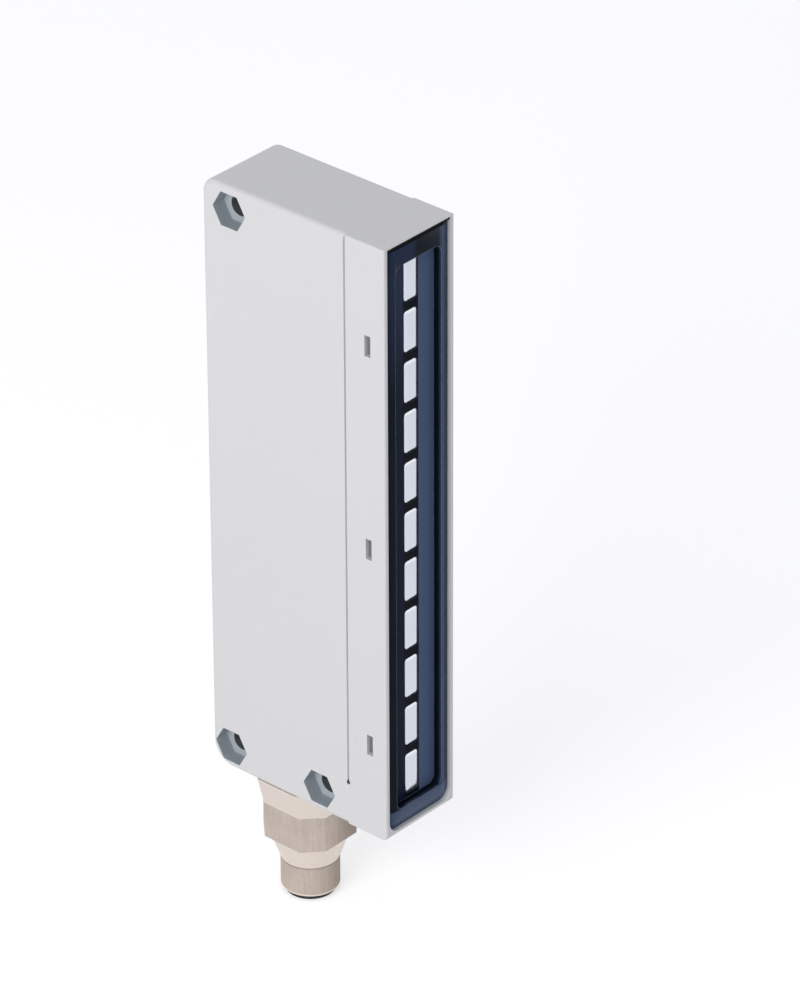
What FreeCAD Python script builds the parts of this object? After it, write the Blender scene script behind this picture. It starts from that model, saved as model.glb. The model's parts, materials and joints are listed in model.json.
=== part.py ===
import FreeCAD, Part
import os
import re

import Sketcher
from FreeCAD import Placement, Rotation, Vector

# A slim upright area sensor, in millimetres.
# The window faces -Y, the two large faces are at -X and +X, and the connector points down.
# Pieces are drawn from the middle of the housing's underside, then placed so that the
# origin of the part is the middle of the upper mounting hole.

doc = FreeCAD.newDocument("AreaSensor")

# Driving dimensions
SIZES = [
    ("body_thickness", 20.0, "housing, across the two large faces"),
    ("body_depth", 46.0, "housing, window side to back"),
    ("body_height", 131.0, "housing, underside to top"),
    ("front_band", 9.9, "front face to the joint groove"),
    ("side_wall", 2.0, "housing wall at the large faces"),
    ("back_wall", 2.0, "housing wall at the back"),
    ("top_wall", 2.0, "housing wall at the top"),
    ("bottom_wall", 3.0, "housing wall that carries the connector"),
    ("cavity_radius", 1.0, "corners of the cavity"),
    ("upper_back_radius", 3.0, "upper back corner in side view"),
    ("lower_back_radius", 5.0, "lower back corner in side view"),
    ("soft_edge", 1.1, "rounding along the edges behind the groove"),
    ("crisp_edge", 0.4, "rounding along the edges in front of the groove"),
    ("lower_front_radius", 1.2, "lower front corner in side view"),
    ("nut_flats", 7.2, "hexagonal nut pocket, across flats"),
    ("nut_pocket", 3.2, "hexagonal nut pocket, depth"),
    ("screw_hole", 4.4, "mounting hole, diameter"),
    ("boss_wall", 0.7, "wall round a nut pocket inside the housing"),
    ("boss_floor", 1.0, "wall behind a nut pocket"),
    ("tube_wall", 0.9, "wall round a screw hole between its nut pockets"),
    ("upper_hole_drop", 5.2, "upper mounting hole below the top"),
    ("upper_hole_setback", 7.0, "upper mounting hole to the back"),
    ("lower_hole_rise", 5.0, "lower mounting holes above the underside"),
    ("rear_hole_setback", 5.0, "rear lower mounting hole to the back"),
    ("front_hole_setback", 17.6, "front lower mounting hole to the front face"),
    ("groove_width", 0.45, "joint groove, width"),
    ("groove_depth", 0.5, "joint groove, depth"),
    ("groove_rise", 9.8, "lower end of the groove above the underside"),
    ("relief_hole", 0.9, "small round end of the groove, diameter"),
    ("snap_width", 1.5, "snap window, along the depth"),
    ("snap_height", 4.5, "snap window, height"),
    ("snap_setback", 4.2, "front face to the middle of the snap windows"),
    ("snap_bottom", 20.7, "lowest snap window above the underside"),
    ("snap_top", 21.7, "highest snap window below the top"),
    ("snap_count", 3.0, "snap windows on each side"),
    ("side_rim", 0.95, "housing rim beside the window"),
    ("top_rim", 0.3, "housing rim above the window"),
    ("bottom_rim", 1.3, "housing rim below the window"),
    ("rebate_depth", 3.0, "front face to the shoulder behind the window"),
    ("rebate_radius", 2.6, "lower corners of the window"),
    ("window_recess", 0.2, "front face to the window's face"),
    ("border_width", 2.5, "window's border beside the channel"),
    ("pillow_width", 2.1, "sloping part of the window's border"),
    ("pillow_drop", 0.6, "drop of the window's border to its outer edge"),
    ("window_gap", 0.1, "clearance round the window"),
    ("gasket_thick", 0.7, "window gasket, thickness"),
    ("gasket_lip", 0.6, "gasket lip above the window, height"),
    ("channel_bottom", 4.15, "box behind the channel above the underside"),
    ("channel_top", 3.85, "box behind the channel below the top"),
    ("channel_depth", 2.0, "recessed channel in the window, depth"),
    ("channel_radius", 1.8, "corners of the channel"),
    ("channel_wall", 1.3, "wall round the channel"),
    ("hook_thick", 1.1, "snap hook arm, thickness"),
    ("hook_height", 7.0, "snap hook arm, height"),
    ("hook_tail", 1.2, "snap hook arm beyond its barb"),
    ("barb_reach", 1.2, "barb of a snap hook, out of its arm"),
    ("barb_gap", 0.2, "snap window above and below the barb"),
    ("fit_gap", 0.1, "clearance between fitted pieces"),
    ("cut_extra", 1.0, "overrun of cuts that go right through"),
    ("lens_pitch", 10.95, "between lens cells"),
    ("cell_width", 3.8, "lens cell, width"),
    ("cell_height", 9.0, "lens cell, height"),
    ("cell_radius", 0.9, "lens cell, corners"),
    ("cell_crown", 0.6, "lens cell, rounding of its face"),
    ("cell_proud", 0.3, "lens cell, above the channel floor"),
    ("strip_width", 7.0, "lens strip, width"),
    ("strip_inset", 0.75, "ends of the lens strip inside the box behind the channel"),
    ("strip_thick", 1.0, "lens strip, thickness behind the window"),
    ("holder_gap", 2.0, "lens holder to the side walls"),
    ("holder_depth", 5.0, "lens holder, depth"),
    ("tunnel_width", 5.0, "light tunnel, width"),
    ("tunnel_height", 8.6, "light tunnel, height"),
    ("optics_gap", 1.0, "optics board to the side walls"),
    ("optics_inset", 1.5, "ends of the optics board inside the box behind the channel"),
    ("board_thick", 1.6, "circuit boards, thickness"),
    ("diode_radius", 1.4, "optical diode, radius"),
    ("diode_barrel", 1.5, "optical diode, straight part"),
    ("screw_offset", 4.4, "holder screws to the middle"),
    ("screw_shank", 2.0, "holder screws, shank diameter"),
    ("screw_head", 3.8, "holder screws, head diameter"),
    ("head_height", 1.3, "holder screws, head height"),
    ("screw_reach", 3.5, "holder screws, length in the holder"),
    ("header_reach", 2.9, "optics board to the main board"),
    ("main_rise", 24.0, "main board above the underside"),
    ("main_top", 15.0, "main board below the top"),
    ("board_gap", 0.2, "main board to the back wall"),
    ("rib_height", 2.0, "guide rib, height"),
    ("rib_rise", 38.0, "lower guide ribs above the underside"),
    ("rib_top", 25.0, "upper guide ribs below the top"),
    ("rib_count", 2.0, "guide ribs on each side wall"),
    ("rib_setback", 15.0, "front face to the guide ribs"),
    ("chip_thick", 1.2, "chips, thickness"),
    ("amplifier_width", 6.0, "amplifier chip, width"),
    ("amplifier_rise", 96.0, "amplifier chip above the underside"),
    ("shield_width", 12.0, "shield can, width"),
    ("shield_depth", 2.2, "shield can, off the board"),
    ("shield_sheet", 0.3, "shield can, sheet thickness"),
    ("processor_width", 10.0, "processor chip, width"),
    ("processor_rise", 44.0, "processor chip above the main board's underside"),
    ("crystal_width", 5.0, "crystal, along the depth"),
    ("crystal_height", 3.2, "crystal, height"),
    ("crystal_rise", 33.0, "crystal above the main board's underside"),
    ("driver_width", 6.0, "driver chips and regulator, width"),
    ("driver_rise", 30.0, "lower driver chip above the main board's underside"),
    ("driver_spacing", 12.0, "between driver chips"),
    ("driver_count", 2.0, "driver chips"),
    ("regulator_rise", 56.0, "regulator above the main board's underside"),
    ("inductor_width", 8.0, "inductor, width"),
    ("inductor_thick", 4.5, "inductor, off the board"),
    ("inductor_rise", 54.5, "inductor above the main board's underside"),
    ("storage_radius", 3.0, "storage capacitor, radius"),
    ("storage_gap", 0.7, "storage capacitor to the side wall"),
    ("storage_rise", 62.5, "lower storage capacitor above the main board's underside"),
    ("storage_spacing", 7.0, "between storage capacitors"),
    ("storage_count", 2.0, "storage capacitors"),
    ("ceramic_width", 2.0, "chip capacitor, along the depth"),
    ("ceramic_height", 1.25, "chip capacitor, height and thickness"),
    ("ceramic_back", 6.0, "chip capacitors to the back of the main board"),
    ("ceramic_rise", 22.0, "lowest chip capacitor above the main board's underside"),
    ("ceramic_spacing", 2.6, "between chip capacitors"),
    ("ceramic_count", 6.0, "chip capacitors"),
    ("header_width", 5.0, "board header, width"),
    ("header_height", 16.0, "board header, height"),
    ("spigot_radius", 5.0, "connector spigot through the housing"),
    ("spigot_height", 9.0, "connector spigot above the underside"),
    ("flare_spread", 1.3, "connector flare, spread of each side at the housing"),
    ("flare_height", 6.0, "connector flare, height"),
    ("base_flats", 16.8, "eight-sided body, across flats"),
    ("base_corner", 3.8, "eight-sided body, corner cut"),
    ("base_drop", 14.0, "underside of the eight-sided body below the housing"),
    ("cone_inset", 0.2, "top of the cone inside the flats"),
    ("cone_drop", 20.0, "lower end of the cone below the housing"),
    ("barrel_radius", 6.0, "connector barrel, radius"),
    ("barrel_drop", 27.0, "connector rim below the housing"),
    ("bore_depth", 16.0, "wide bore in the connector, depth from the rim"),
    ("barrel_wall", 0.8, "connector barrel, wall at its rim"),
    ("rim_chamfer", 0.35, "chamfer at the connector's rim"),
    ("socket_depth", 8.6, "pin cavity in the connector, depth"),
    ("sleeve_wall", 0.9, "black sleeve round the pins, wall"),
    ("sleeve_proud", 1.0, "black sleeve beyond the rim"),
    ("pilot_radius", 3.9, "insert inside the spigot, radius"),
    ("seal_section", 0.6, "ring seals, radius of their section"),
    ("seal_gap", 0.05, "clearance round the ring seals"),
    ("insert_seal_rise", 11.5, "insert seal above the rim"),
    ("key_width", 1.2, "coding key in the pin cavity, width"),
    ("key_height", 0.6, "coding key in the pin cavity, height off the wall"),
    ("seal_radius", 6.6, "housing seal, radius to its section"),
    ("nut_thick", 3.0, "lock nut, thickness"),
    ("nut_width", 12.0, "lock nut, across flats"),
    ("pin_radius", 0.5, "contact pin, radius"),
    ("pin_circle", 2.5, "contact pins, radius of their circle"),
    ("pin_setin", 1.4, "tips of the pins inside the sleeve's end"),
    ("pin_tail", 2.0, "pins above the insert"),
    ("lead_radius", 0.45, "leads, radius"),
    ("terminal_depth", 6.0, "terminal block, along the depth"),
    ("terminal_height", 7.0, "terminal block, height"),
    ("terminal_thick", 2.6, "terminal block, off the board"),
]

sheet = doc.addObject("Spreadsheet::Sheet", "Sizes")
for row, (alias, value, meaning) in enumerate(SIZES, start=1):
    sheet.set(f"A{row}", meaning)
    sheet.set(f"B{row}", str(value))
    sheet.setAlias(f"B{row}", alias)
doc.recompute()

PARTS = []


def size(alias):
    """The value of one driving dimension."""
    return float(sheet.get(alias))


def formula(text):
    """Point every dimension named in a formula at its cell in the sheet."""
    return re.sub(r"\b[a-z]+(?:_[a-z]+)+\b", lambda found: "Sizes." + found.group(0), text)


def work_out(text):
    """The present value of a formula of driving dimensions."""
    return float(sheet.evalExpression(formula(text)))


def bind(item, path, text):
    item.setExpression(path, formula(text))


def name_part(item, label):
    """Give a finished piece its label and move it to the part's own origin."""
    item.Label = label
    bind(item, ".Placement.Base.y", "upper_hole_setback - body_depth / 2")
    bind(item, ".Placement.Base.z", "upper_hole_drop - body_height")
    PARTS.append(item)
    return item


def add_body(label):
    return name_part(doc.addObject("PartDesign::Body", label), label)


def origin_feature(body, role):
    return next(item for item in body.Origin.OriginFeatures if item.Role == role)


# Sketches

def add_sketch(body, name, plane, x="0", y="0", off="0"):
    """A sketch on one of the body's own planes, with its own zero moved by formulas."""
    sketch = body.newObject("Sketcher::SketchObject", name)
    sketch.AttachmentSupport = (origin_feature(body, plane), "")
    sketch.MapMode = "FlatFace"
    for axis, text in (("x", x), ("y", y), ("z", off)):
        if text != "0":
            bind(sketch, f"AttachmentOffset.Base.{axis}", text)
    return sketch


def constrain(sketch, name, kind, *args):
    """Add one size to a sketch, driven by the formula that comes last."""
    text = args[-1]
    start = 10.0
    index = sketch.addConstraint(Sketcher.Constraint(kind, *args[:-1], start))
    sketch.renameConstraint(index, name)
    bind(sketch, f"Constraints.{name}", text)


def draw_rectangle(sketch, width, height):
    """A rectangle centred on the sketch's zero."""
    corners = [Vector(-5, -5, 0), Vector(5, -5, 0), Vector(5, 5, 0), Vector(-5, 5, 0)]
    first = sketch.GeometryCount
    for index, corner in enumerate(corners):
        sketch.addGeometry(Part.LineSegment(corner, corners[(index + 1) % 4]))
    for index in range(4):
        following = first + (index + 1) % 4
        sketch.addConstraint(Sketcher.Constraint("Coincident", first + index, 2, following, 1))
        direction = "Horizontal" if index % 2 == 0 else "Vertical"
        sketch.addConstraint(Sketcher.Constraint(direction, first + index))
    sketch.addConstraint(Sketcher.Constraint("Symmetric", first, 1, first + 2, 1, -1, 1))
    constrain(sketch, f"Width{first}", "DistanceX", first, 1, first, 2, width)
    constrain(sketch, f"Height{first}", "DistanceY", first + 1, 1, first + 1, 2, height)
    return sketch


def draw_circle(sketch, diameter):
    index = sketch.addGeometry(Part.Circle(Vector(0, 0, 0), Vector(0, 0, 1), 5))
    sketch.addConstraint(Sketcher.Constraint("Coincident", index, 3, -1, 1))
    constrain(sketch, f"Diameter{index}", "Diameter", index, diameter)
    return sketch


def draw_hexagon(sketch, flats):
    """A regular hexagon centred on zero, with two corners on the sketch's horizontal axis."""
    points = [Rotation(Vector(0, 0, 1), 60 * step).multVec(Vector(5, 0, 0)) for step in range(6)]
    for index, point in enumerate(points):
        sketch.addGeometry(Part.LineSegment(point, points[(index + 1) % 6]))
    circle = sketch.addGeometry(Part.Circle(Vector(0, 0, 0), Vector(0, 0, 1), 5), True)
    sketch.addConstraint(Sketcher.Constraint("Coincident", circle, 3, -1, 1))
    for index in range(6):
        sketch.addConstraint(Sketcher.Constraint("Coincident", index, 2, (index + 1) % 6, 1))
        sketch.addConstraint(Sketcher.Constraint("PointOnObject", index, 1, circle))
    for index in range(1, 6):
        sketch.addConstraint(Sketcher.Constraint("Equal", 0, index))
    sketch.addConstraint(Sketcher.Constraint("PointOnObject", 0, 1, -1))
    constrain(sketch, "Around", "Diameter", circle, f"2 * ({flats}) / sqrt(3)")
    return sketch


def draw_outline(sketch, corners):
    """A closed outline through corners given as pairs of formulas from the sketch's zero."""
    total = len(corners)
    starts = [Rotation(Vector(0, 0, 1), -360.0 * step / total).multVec(Vector(-5, -5, 0))
              for step in range(total)]
    for index, point in enumerate(starts):
        sketch.addGeometry(Part.LineSegment(point, starts[(index + 1) % total]))
    for index, (across, up) in enumerate(corners):
        sketch.addConstraint(Sketcher.Constraint("Coincident", index, 2, (index + 1) % total, 1))
        place_point(sketch, index, across, up)
    return sketch


def place_point(sketch, index, across, up):
    """Tie the start of one line to the sketch's axes or to a distance from them."""
    if across == "0":
        sketch.addConstraint(Sketcher.Constraint("PointOnObject", index, 1, -2))
    else:
        constrain(sketch, f"Across{index}", "DistanceX", -1, 1, index, 1, across)
    if up == "0":
        sketch.addConstraint(Sketcher.Constraint("PointOnObject", index, 1, -1))
    else:
        constrain(sketch, f"Up{index}", "DistanceY", -1, 1, index, 1, up)


# Features

def add_pad(body, name, sketch, length, symmetric=False, backwards=False):
    pad = body.newObject("PartDesign::Pad", name)
    pad.Profile = sketch
    pad.SideType = "Symmetric" if symmetric else "One side"
    pad.Reversed = backwards
    bind(pad, "Length", length)
    doc.recompute()
    return pad


def add_pocket(body, name, sketch, length, symmetric=False, backwards=False):
    """A pocket that has to take something away."""
    before = body.Shape.Volume
    pocket = body.newObject("PartDesign::Pocket", name)
    pocket.Profile = sketch
    pocket.SideType = "Symmetric" if symmetric else "One side"
    pocket.Reversed = backwards
    bind(pocket, "Length", length)
    doc.recompute()
    if body.Shape.Volume >= before:
        raise RuntimeError(f"{name} removes nothing")
    return pocket


def add_row(body, name, features, spacing, count):
    """Copies in a row up the body's own Z axis."""
    row_pattern = body.newObject("PartDesign::LinearPattern", name)
    row_pattern.Originals = features
    row_pattern.Direction = (origin_feature(body, "Z_Axis"), [""])
    row_pattern.Mode = "Spacing"
    bind(row_pattern, "Offset", spacing)
    bind(row_pattern, "Occurrences", count)
    body.Tip = row_pattern
    doc.recompute()
    return row_pattern


def find_edges(feature, wanted):
    """Names of the edges of a feature that pass a test on the edge."""
    names = [f"Edge{index}" for index, edge in enumerate(feature.Shape.Edges, start=1) if wanted(edge)]
    if not names:
        raise RuntimeError(f"no edge found on {feature.Name}")
    return names


def runs_along(edge, direction):
    """True for a straight edge along a direction."""
    if not isinstance(edge.Curve, (Part.Line, Part.LineSegment)):
        return False
    return abs(edge.Curve.Direction.dot(direction)) > 0.999


def add_fillet(body, name, feature, edges, radius):
    fillet = body.newObject("PartDesign::Fillet", name)
    fillet.Base = (feature, edges)
    bind(fillet, "Radius", radius)
    doc.recompute()
    return fillet


def add_chamfer(body, name, feature, edges, length):
    chamfer = body.newObject("PartDesign::Chamfer", name)
    chamfer.Base = (feature, edges)
    bind(chamfer, "Size", length)
    doc.recompute()
    return chamfer


X_AXIS = Vector(1, 0, 0)
Y_AXIS = Vector(0, 1, 0)
Z_AXIS = Vector(0, 0, 1)
NEAR = 1e-4

# Places that several pieces share, in the drawing frame
SHOULDER = "(rebate_depth - body_depth / 2)"
WINDOW_BACK = "(rebate_depth - gasket_thick - body_depth / 2)"
WINDOW_THICK = "(rebate_depth - gasket_thick - window_recess)"
CHANNEL_FLOOR = "(window_recess + channel_depth - body_depth / 2)"
STRIP_BACK = "(window_recess + channel_depth + channel_wall + strip_thick - body_depth / 2)"
OPTICS_FRONT = ("(window_recess + channel_depth + channel_wall + strip_thick + holder_depth"
                " - body_depth / 2)")
OPTICS_BACK = ("(window_recess + channel_depth + channel_wall + strip_thick + holder_depth"
               " + board_thick - body_depth / 2)")
MAIN_BACK = "(body_depth / 2 - back_wall - board_gap)"
MAIN_FRONT = ("(window_recess + channel_depth + channel_wall + strip_thick + holder_depth"
              " + board_thick + header_reach - body_depth / 2)")
MAIN_MIDDLE = f"(({MAIN_BACK} + {MAIN_FRONT}) / 2)"
PORT_Y = "((front_hole_setback - rear_hole_setback) / 2)"
HOLES = {
    "Upper": ("body_depth / 2 - upper_hole_setback", "body_height - upper_hole_drop"),
    "LowerRear": ("body_depth / 2 - rear_hole_setback", "lower_hole_rise"),
    "LowerFront": ("front_hole_setback - body_depth / 2", "lower_hole_rise"),
}
SNAP_STEP = "((body_height - snap_top - snap_bottom) / (snap_count - 1))"

# The column of lens cells and the box behind the channel that holds it
COLUMN_MIDDLE = "((body_height - channel_top + channel_bottom) / 2)"
COLUMN_HEIGHT = "(body_height - channel_top - channel_bottom)"
CHANNEL_WIDTH = "(body_thickness - 2 * side_rim - 2 * border_width)"
LENS_COUNT = f"floor(({COLUMN_HEIGHT} - 2 * channel_wall + lens_pitch - cell_height) / lens_pitch)"
LOWEST_LENS = f"({COLUMN_MIDDLE} - lens_pitch * ({LENS_COUNT} - 1) / 2)"


# Housing

def make_housing():
    body = add_body("housing")
    block_with_soft_edges(body)
    front_band(body)
    cut_cavity(body)
    add_bosses(body)
    add_guide_ribs(body)
    cut_mounting_holes(body)
    cut_side_details(body)
    port = add_sketch(body, "PortSketch", "XY_Plane", y=PORT_Y)
    draw_circle(port, "2 * spigot_radius + 2 * fit_gap")
    add_pocket(body, "PortHole", port, "bottom_wall + fit_gap", backwards=True)


def block_with_soft_edges(body):
    """The block behind the groove: rounded back corners, then one soft edge all round."""
    profile = add_sketch(body, "BlockSketch", "YZ_Plane", "front_band / 2", "body_height / 2")
    draw_rectangle(profile, "body_depth - front_band", "body_height")
    block = add_pad(body, "Block", profile, "body_thickness", symmetric=True)
    back = size("body_depth") / 2
    top = size("body_height")

    def at_back(edge, height):
        middle = edge.CenterOfMass
        return runs_along(edge, X_AXIS) and abs(middle.y - back) < NEAR and abs(middle.z - height) < NEAR

    upper = add_fillet(body, "UpperBackCorner", block,
                       find_edges(block, lambda edge: at_back(edge, top)), "upper_back_radius")
    lower = add_fillet(body, "LowerBackCorner", upper,
                       find_edges(upper, lambda edge: at_back(edge, 0)), "lower_back_radius")
    side = size("body_thickness") / 2
    joint = size("front_band") - back

    def around_face(edge):
        box = edge.BoundBox
        flat = abs(abs(edge.CenterOfMass.x) - side) < NEAR and box.XLength < NEAR
        return flat and box.YMax > joint + NEAR

    add_fillet(body, "SoftEdge", lower, find_edges(lower, around_face), "soft_edge")


def front_band(body):
    """The band in front of the groove keeps crisper long edges."""
    profile = add_sketch(body, "BandSketch", "YZ_Plane", "(front_band - body_depth) / 2", "body_height / 2")
    draw_rectangle(profile, "front_band", "body_height")
    band = add_pad(body, "Band", profile, "body_thickness", symmetric=True)
    side = size("body_thickness") / 2
    joint = size("front_band") - size("body_depth") / 2
    front = 0 - size("body_depth") / 2

    def lower_front(edge):
        middle = edge.CenterOfMass
        return runs_along(edge, X_AXIS) and abs(middle.y - front) < NEAR and abs(middle.z) < NEAR

    rounded = add_fillet(body, "LowerFrontCorner", band, find_edges(band, lower_front), "lower_front_radius")

    def crisp(edge):
        middle = edge.CenterOfMass
        on_side = abs(abs(middle.x) - side) < NEAR and edge.BoundBox.XLength < NEAR
        across = edge.BoundBox.YMax < joint + NEAR and edge.BoundBox.YLength > NEAR
        upright = runs_along(edge, Z_AXIS) and abs(middle.y - front) < NEAR
        return on_side and (across or upright)

    add_fillet(body, "CrispEdge", rounded, find_edges(rounded, crisp), "crisp_edge")


def cut_cavity(body):
    hollow = add_sketch(body, "CavitySketch", "XZ_Plane",
                        y="(body_height - top_wall + bottom_wall) / 2", off="body_depth / 2")
    draw_rectangle(hollow, "body_thickness - 2 * side_wall", "body_height - top_wall - bottom_wall")
    cavity = add_pocket(body, "Cavity", hollow, "body_depth - back_wall")
    inner = size("body_thickness") / 2 - size("side_wall")
    corners = find_edges(cavity, lambda edge: runs_along(edge, Y_AXIS)
                         and abs(abs(edge.CenterOfMass.x) - inner) < NEAR
                         and edge.Length > size("body_depth") / 2)
    rounded = add_fillet(body, "CavityCorners", cavity, corners, "cavity_radius")
    seat = add_sketch(body, "RebateSketch", "XZ_Plane",
                      y="(body_height - top_rim + bottom_rim) / 2", off="body_depth / 2")
    draw_rectangle(seat, "body_thickness - 2 * side_rim", "body_height - top_rim - bottom_rim")
    rebate = add_pocket(body, "Rebate", seat, "rebate_depth")
    low = size("bottom_rim")
    edge_x = size("body_thickness") / 2 - size("side_rim")
    lower = find_edges(rebate, lambda edge: runs_along(edge, Y_AXIS)
                       and abs(edge.CenterOfMass.z - low) < NEAR
                       and abs(abs(edge.CenterOfMass.x) - edge_x) < NEAR)
    add_fillet(body, "RebateCorners", rebate, lower, "rebate_radius")


def add_bosses(body):
    """A tube round each screw hole, right through the hollow housing, and a cup round each nut pocket."""
    for name, (across, up) in HOLES.items():
        tube = add_sketch(body, f"{name}TubeSketch", "YZ_Plane", across, up)
        draw_circle(tube, "screw_hole + 2 * tube_wall")
        add_pad(body, f"{name}Tube", tube, "body_thickness - side_wall", symmetric=True)
        for side, backwards, sign in (("Far", True, ""), ("Near", False, "0 - ")):
            cup = add_sketch(body, f"{side}{name}CupSketch", "YZ_Plane", across, up,
                             f"{sign}(body_thickness - side_wall) / 2")
            draw_circle(cup, "2 * nut_flats / sqrt(3) + 2 * boss_wall")
            add_pad(body, f"{side}{name}Cup", cup, "nut_pocket + boss_floor - side_wall / 2",
                    backwards=backwards)


def add_guide_ribs(body):
    """Two ribs on each side wall hold the faces of the main board."""
    reach = "(body_thickness / 2 - side_wall / 2 - board_thick / 2 - fit_gap)"
    sketch = add_sketch(body, "RibSketch", "XZ_Plane",
                        x=f"board_thick / 2 + fit_gap + {reach} / 2",
                        y="rib_rise + rib_height / 2", off="body_depth / 2 - rib_setback")
    draw_rectangle(sketch, reach, "rib_height")
    rib = add_pad(body, "Rib", sketch, "body_depth - rib_setback - back_wall / 2", backwards=True)
    mirrored = add_sketch(body, "FarRibSketch", "XZ_Plane",
                          x=f"0 - board_thick / 2 - fit_gap - {reach} / 2",
                          y="rib_rise + rib_height / 2", off="body_depth / 2 - rib_setback")
    draw_rectangle(mirrored, reach, "rib_height")
    far_rib = add_pad(body, "FarRib", mirrored, "body_depth - rib_setback - back_wall / 2",
                      backwards=True)
    add_row(body, "RibRow", [rib, far_rib], "(body_height - rib_top - rib_rise) / (rib_count - 1)",
            "rib_count")


def cut_mounting_holes(body):
    for name, (across, up) in HOLES.items():
        sketch = add_sketch(body, f"{name}HoleSketch", "YZ_Plane", across, up)
        draw_circle(sketch, "screw_hole")
        add_pocket(body, f"{name}Hole", sketch, "body_thickness + 2 * cut_extra", symmetric=True)
    for side, backwards in (("Far", False), ("Near", True)):
        sign = "0 - " if backwards else ""
        for name, (across, up) in HOLES.items():
            sketch = add_sketch(body, f"{side}{name}NutSketch", "YZ_Plane", across, up,
                                f"{sign}body_thickness / 2")
            draw_hexagon(sketch, "nut_flats")
            add_pocket(body, f"{side}{name}Nut", sketch, "nut_pocket", backwards=backwards)


def cut_side_details(body):
    """Snap windows right through both walls, and the groove with its round end on each face."""
    sketch = add_sketch(body, "SnapSketch", "YZ_Plane", "snap_setback - body_depth / 2", "snap_bottom")
    draw_rectangle(sketch, "snap_width", "snap_height")
    snap = add_pocket(body, "SnapWindow", sketch, "body_thickness + 2 * cut_extra", symmetric=True)
    add_row(body, "SnapRow", [snap], SNAP_STEP, "snap_count")
    for side, backwards in (("Far", False), ("Near", True)):
        sign = "0 - " if backwards else ""
        line = add_sketch(body, f"{side}GrooveSketch", "YZ_Plane", "front_band - body_depth / 2",
                          "(groove_rise + body_height + soft_edge) / 2", f"{sign}body_thickness / 2")
        draw_rectangle(line, "groove_width", "body_height + soft_edge - groove_rise")
        add_pocket(body, f"{side}Groove", line, "groove_depth", backwards=backwards)
        dot = add_sketch(body, f"{side}ReliefSketch", "YZ_Plane", "front_band - body_depth / 2",
                         "groove_rise", f"{sign}body_thickness / 2")
        draw_circle(dot, "relief_hole")
        add_pocket(body, f"{side}Relief", dot, "groove_depth + relief_hole / 2", backwards=backwards)


# Window, gasket and lenses

def make_front_bezel():
    """Tinted window moulding: a plate, a box behind it for the channel, and six snap hooks."""
    body = add_body("front_bezel")
    plate = add_sketch(body, "PlateSketch", "XZ_Plane",
                       y="(body_height - top_rim - gasket_lip - window_gap + bottom_rim + window_gap) / 2",
                       off=f"0 - {WINDOW_BACK}")
    draw_rectangle(plate, "body_thickness - 2 * side_rim - 2 * window_gap",
                   "body_height - top_rim - gasket_lip - bottom_rim - 2 * window_gap")
    pad = add_pad(body, "Plate", plate, WINDOW_THICK)
    low = size("bottom_rim") + size("window_gap")
    lower = find_edges(pad, lambda edge: runs_along(edge, Y_AXIS) and abs(edge.CenterOfMass.z - low) < NEAR)
    corners = add_fillet(body, "PlateCorners", pad, lower, "rebate_radius - window_gap")
    slope_border(body, corners)
    box = add_sketch(body, "BoxSketch", "XZ_Plane", y=COLUMN_MIDDLE, off=f"0 - {WINDOW_BACK}")
    draw_rectangle(box, f"{CHANNEL_WIDTH} + 2 * channel_wall", COLUMN_HEIGHT)
    depth = "channel_depth + channel_wall - rebate_depth + gasket_thick + window_recess"
    add_pad(body, "ChannelBox", box, depth, backwards=True)
    hollow = add_sketch(body, "ChannelSketch", "XZ_Plane", y=COLUMN_MIDDLE,
                        off="body_depth / 2 - window_recess")
    draw_rectangle(hollow, CHANNEL_WIDTH, f"{COLUMN_HEIGHT} - 2 * channel_wall")
    channel = add_pocket(body, "Channel", hollow, "channel_depth")
    inner = work_out(CHANNEL_WIDTH) / 2
    corners = find_edges(channel, lambda edge: runs_along(edge, Y_AXIS)
                         and abs(abs(edge.CenterOfMass.x) - inner) < NEAR)
    add_fillet(body, "ChannelCorners", channel, corners, "channel_radius")
    cut_apertures(body)
    add_hooks(body)


def slope_border(body, plate):
    """The face of the window slopes back towards its outer edge, down both sides and along the bottom."""
    face = min(vertex.Y for vertex in plate.Shape.Vertexes)
    top = max(vertex.Z for vertex in plate.Shape.Vertexes)
    border = find_edges(plate, lambda edge: edge.BoundBox.YMax < face + NEAR
                        and edge.BoundBox.ZMin < top - NEAR)
    slope = add_chamfer(body, "Pillow", plate, border, "pillow_drop")
    slope.ChamferType = "Two distances"
    bind(slope, "Size2", "pillow_width")
    doc.recompute()


def cut_apertures(body):
    """One aperture for each lens cell, with a bar left between neighbours."""
    sketch = add_sketch(body, "ApertureSketch", "XZ_Plane", y=LOWEST_LENS, off=f"0 - {CHANNEL_FLOOR}")
    draw_rectangle(sketch, "cell_width + 2 * fit_gap", "cell_height + 2 * fit_gap")
    aperture = add_pocket(body, "Aperture", sketch, "channel_wall + fit_gap")
    half = size("cell_width") / 2 + size("fit_gap")
    corners = find_edges(aperture, lambda edge: runs_along(edge, Y_AXIS)
                         and abs(abs(edge.CenterOfMass.x) - half) < NEAR)
    rounded = add_fillet(body, "ApertureCorners", aperture, corners, "cell_radius + fit_gap")
    add_row(body, "ApertureRow", [aperture, rounded], "lens_pitch", LENS_COUNT)


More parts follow.
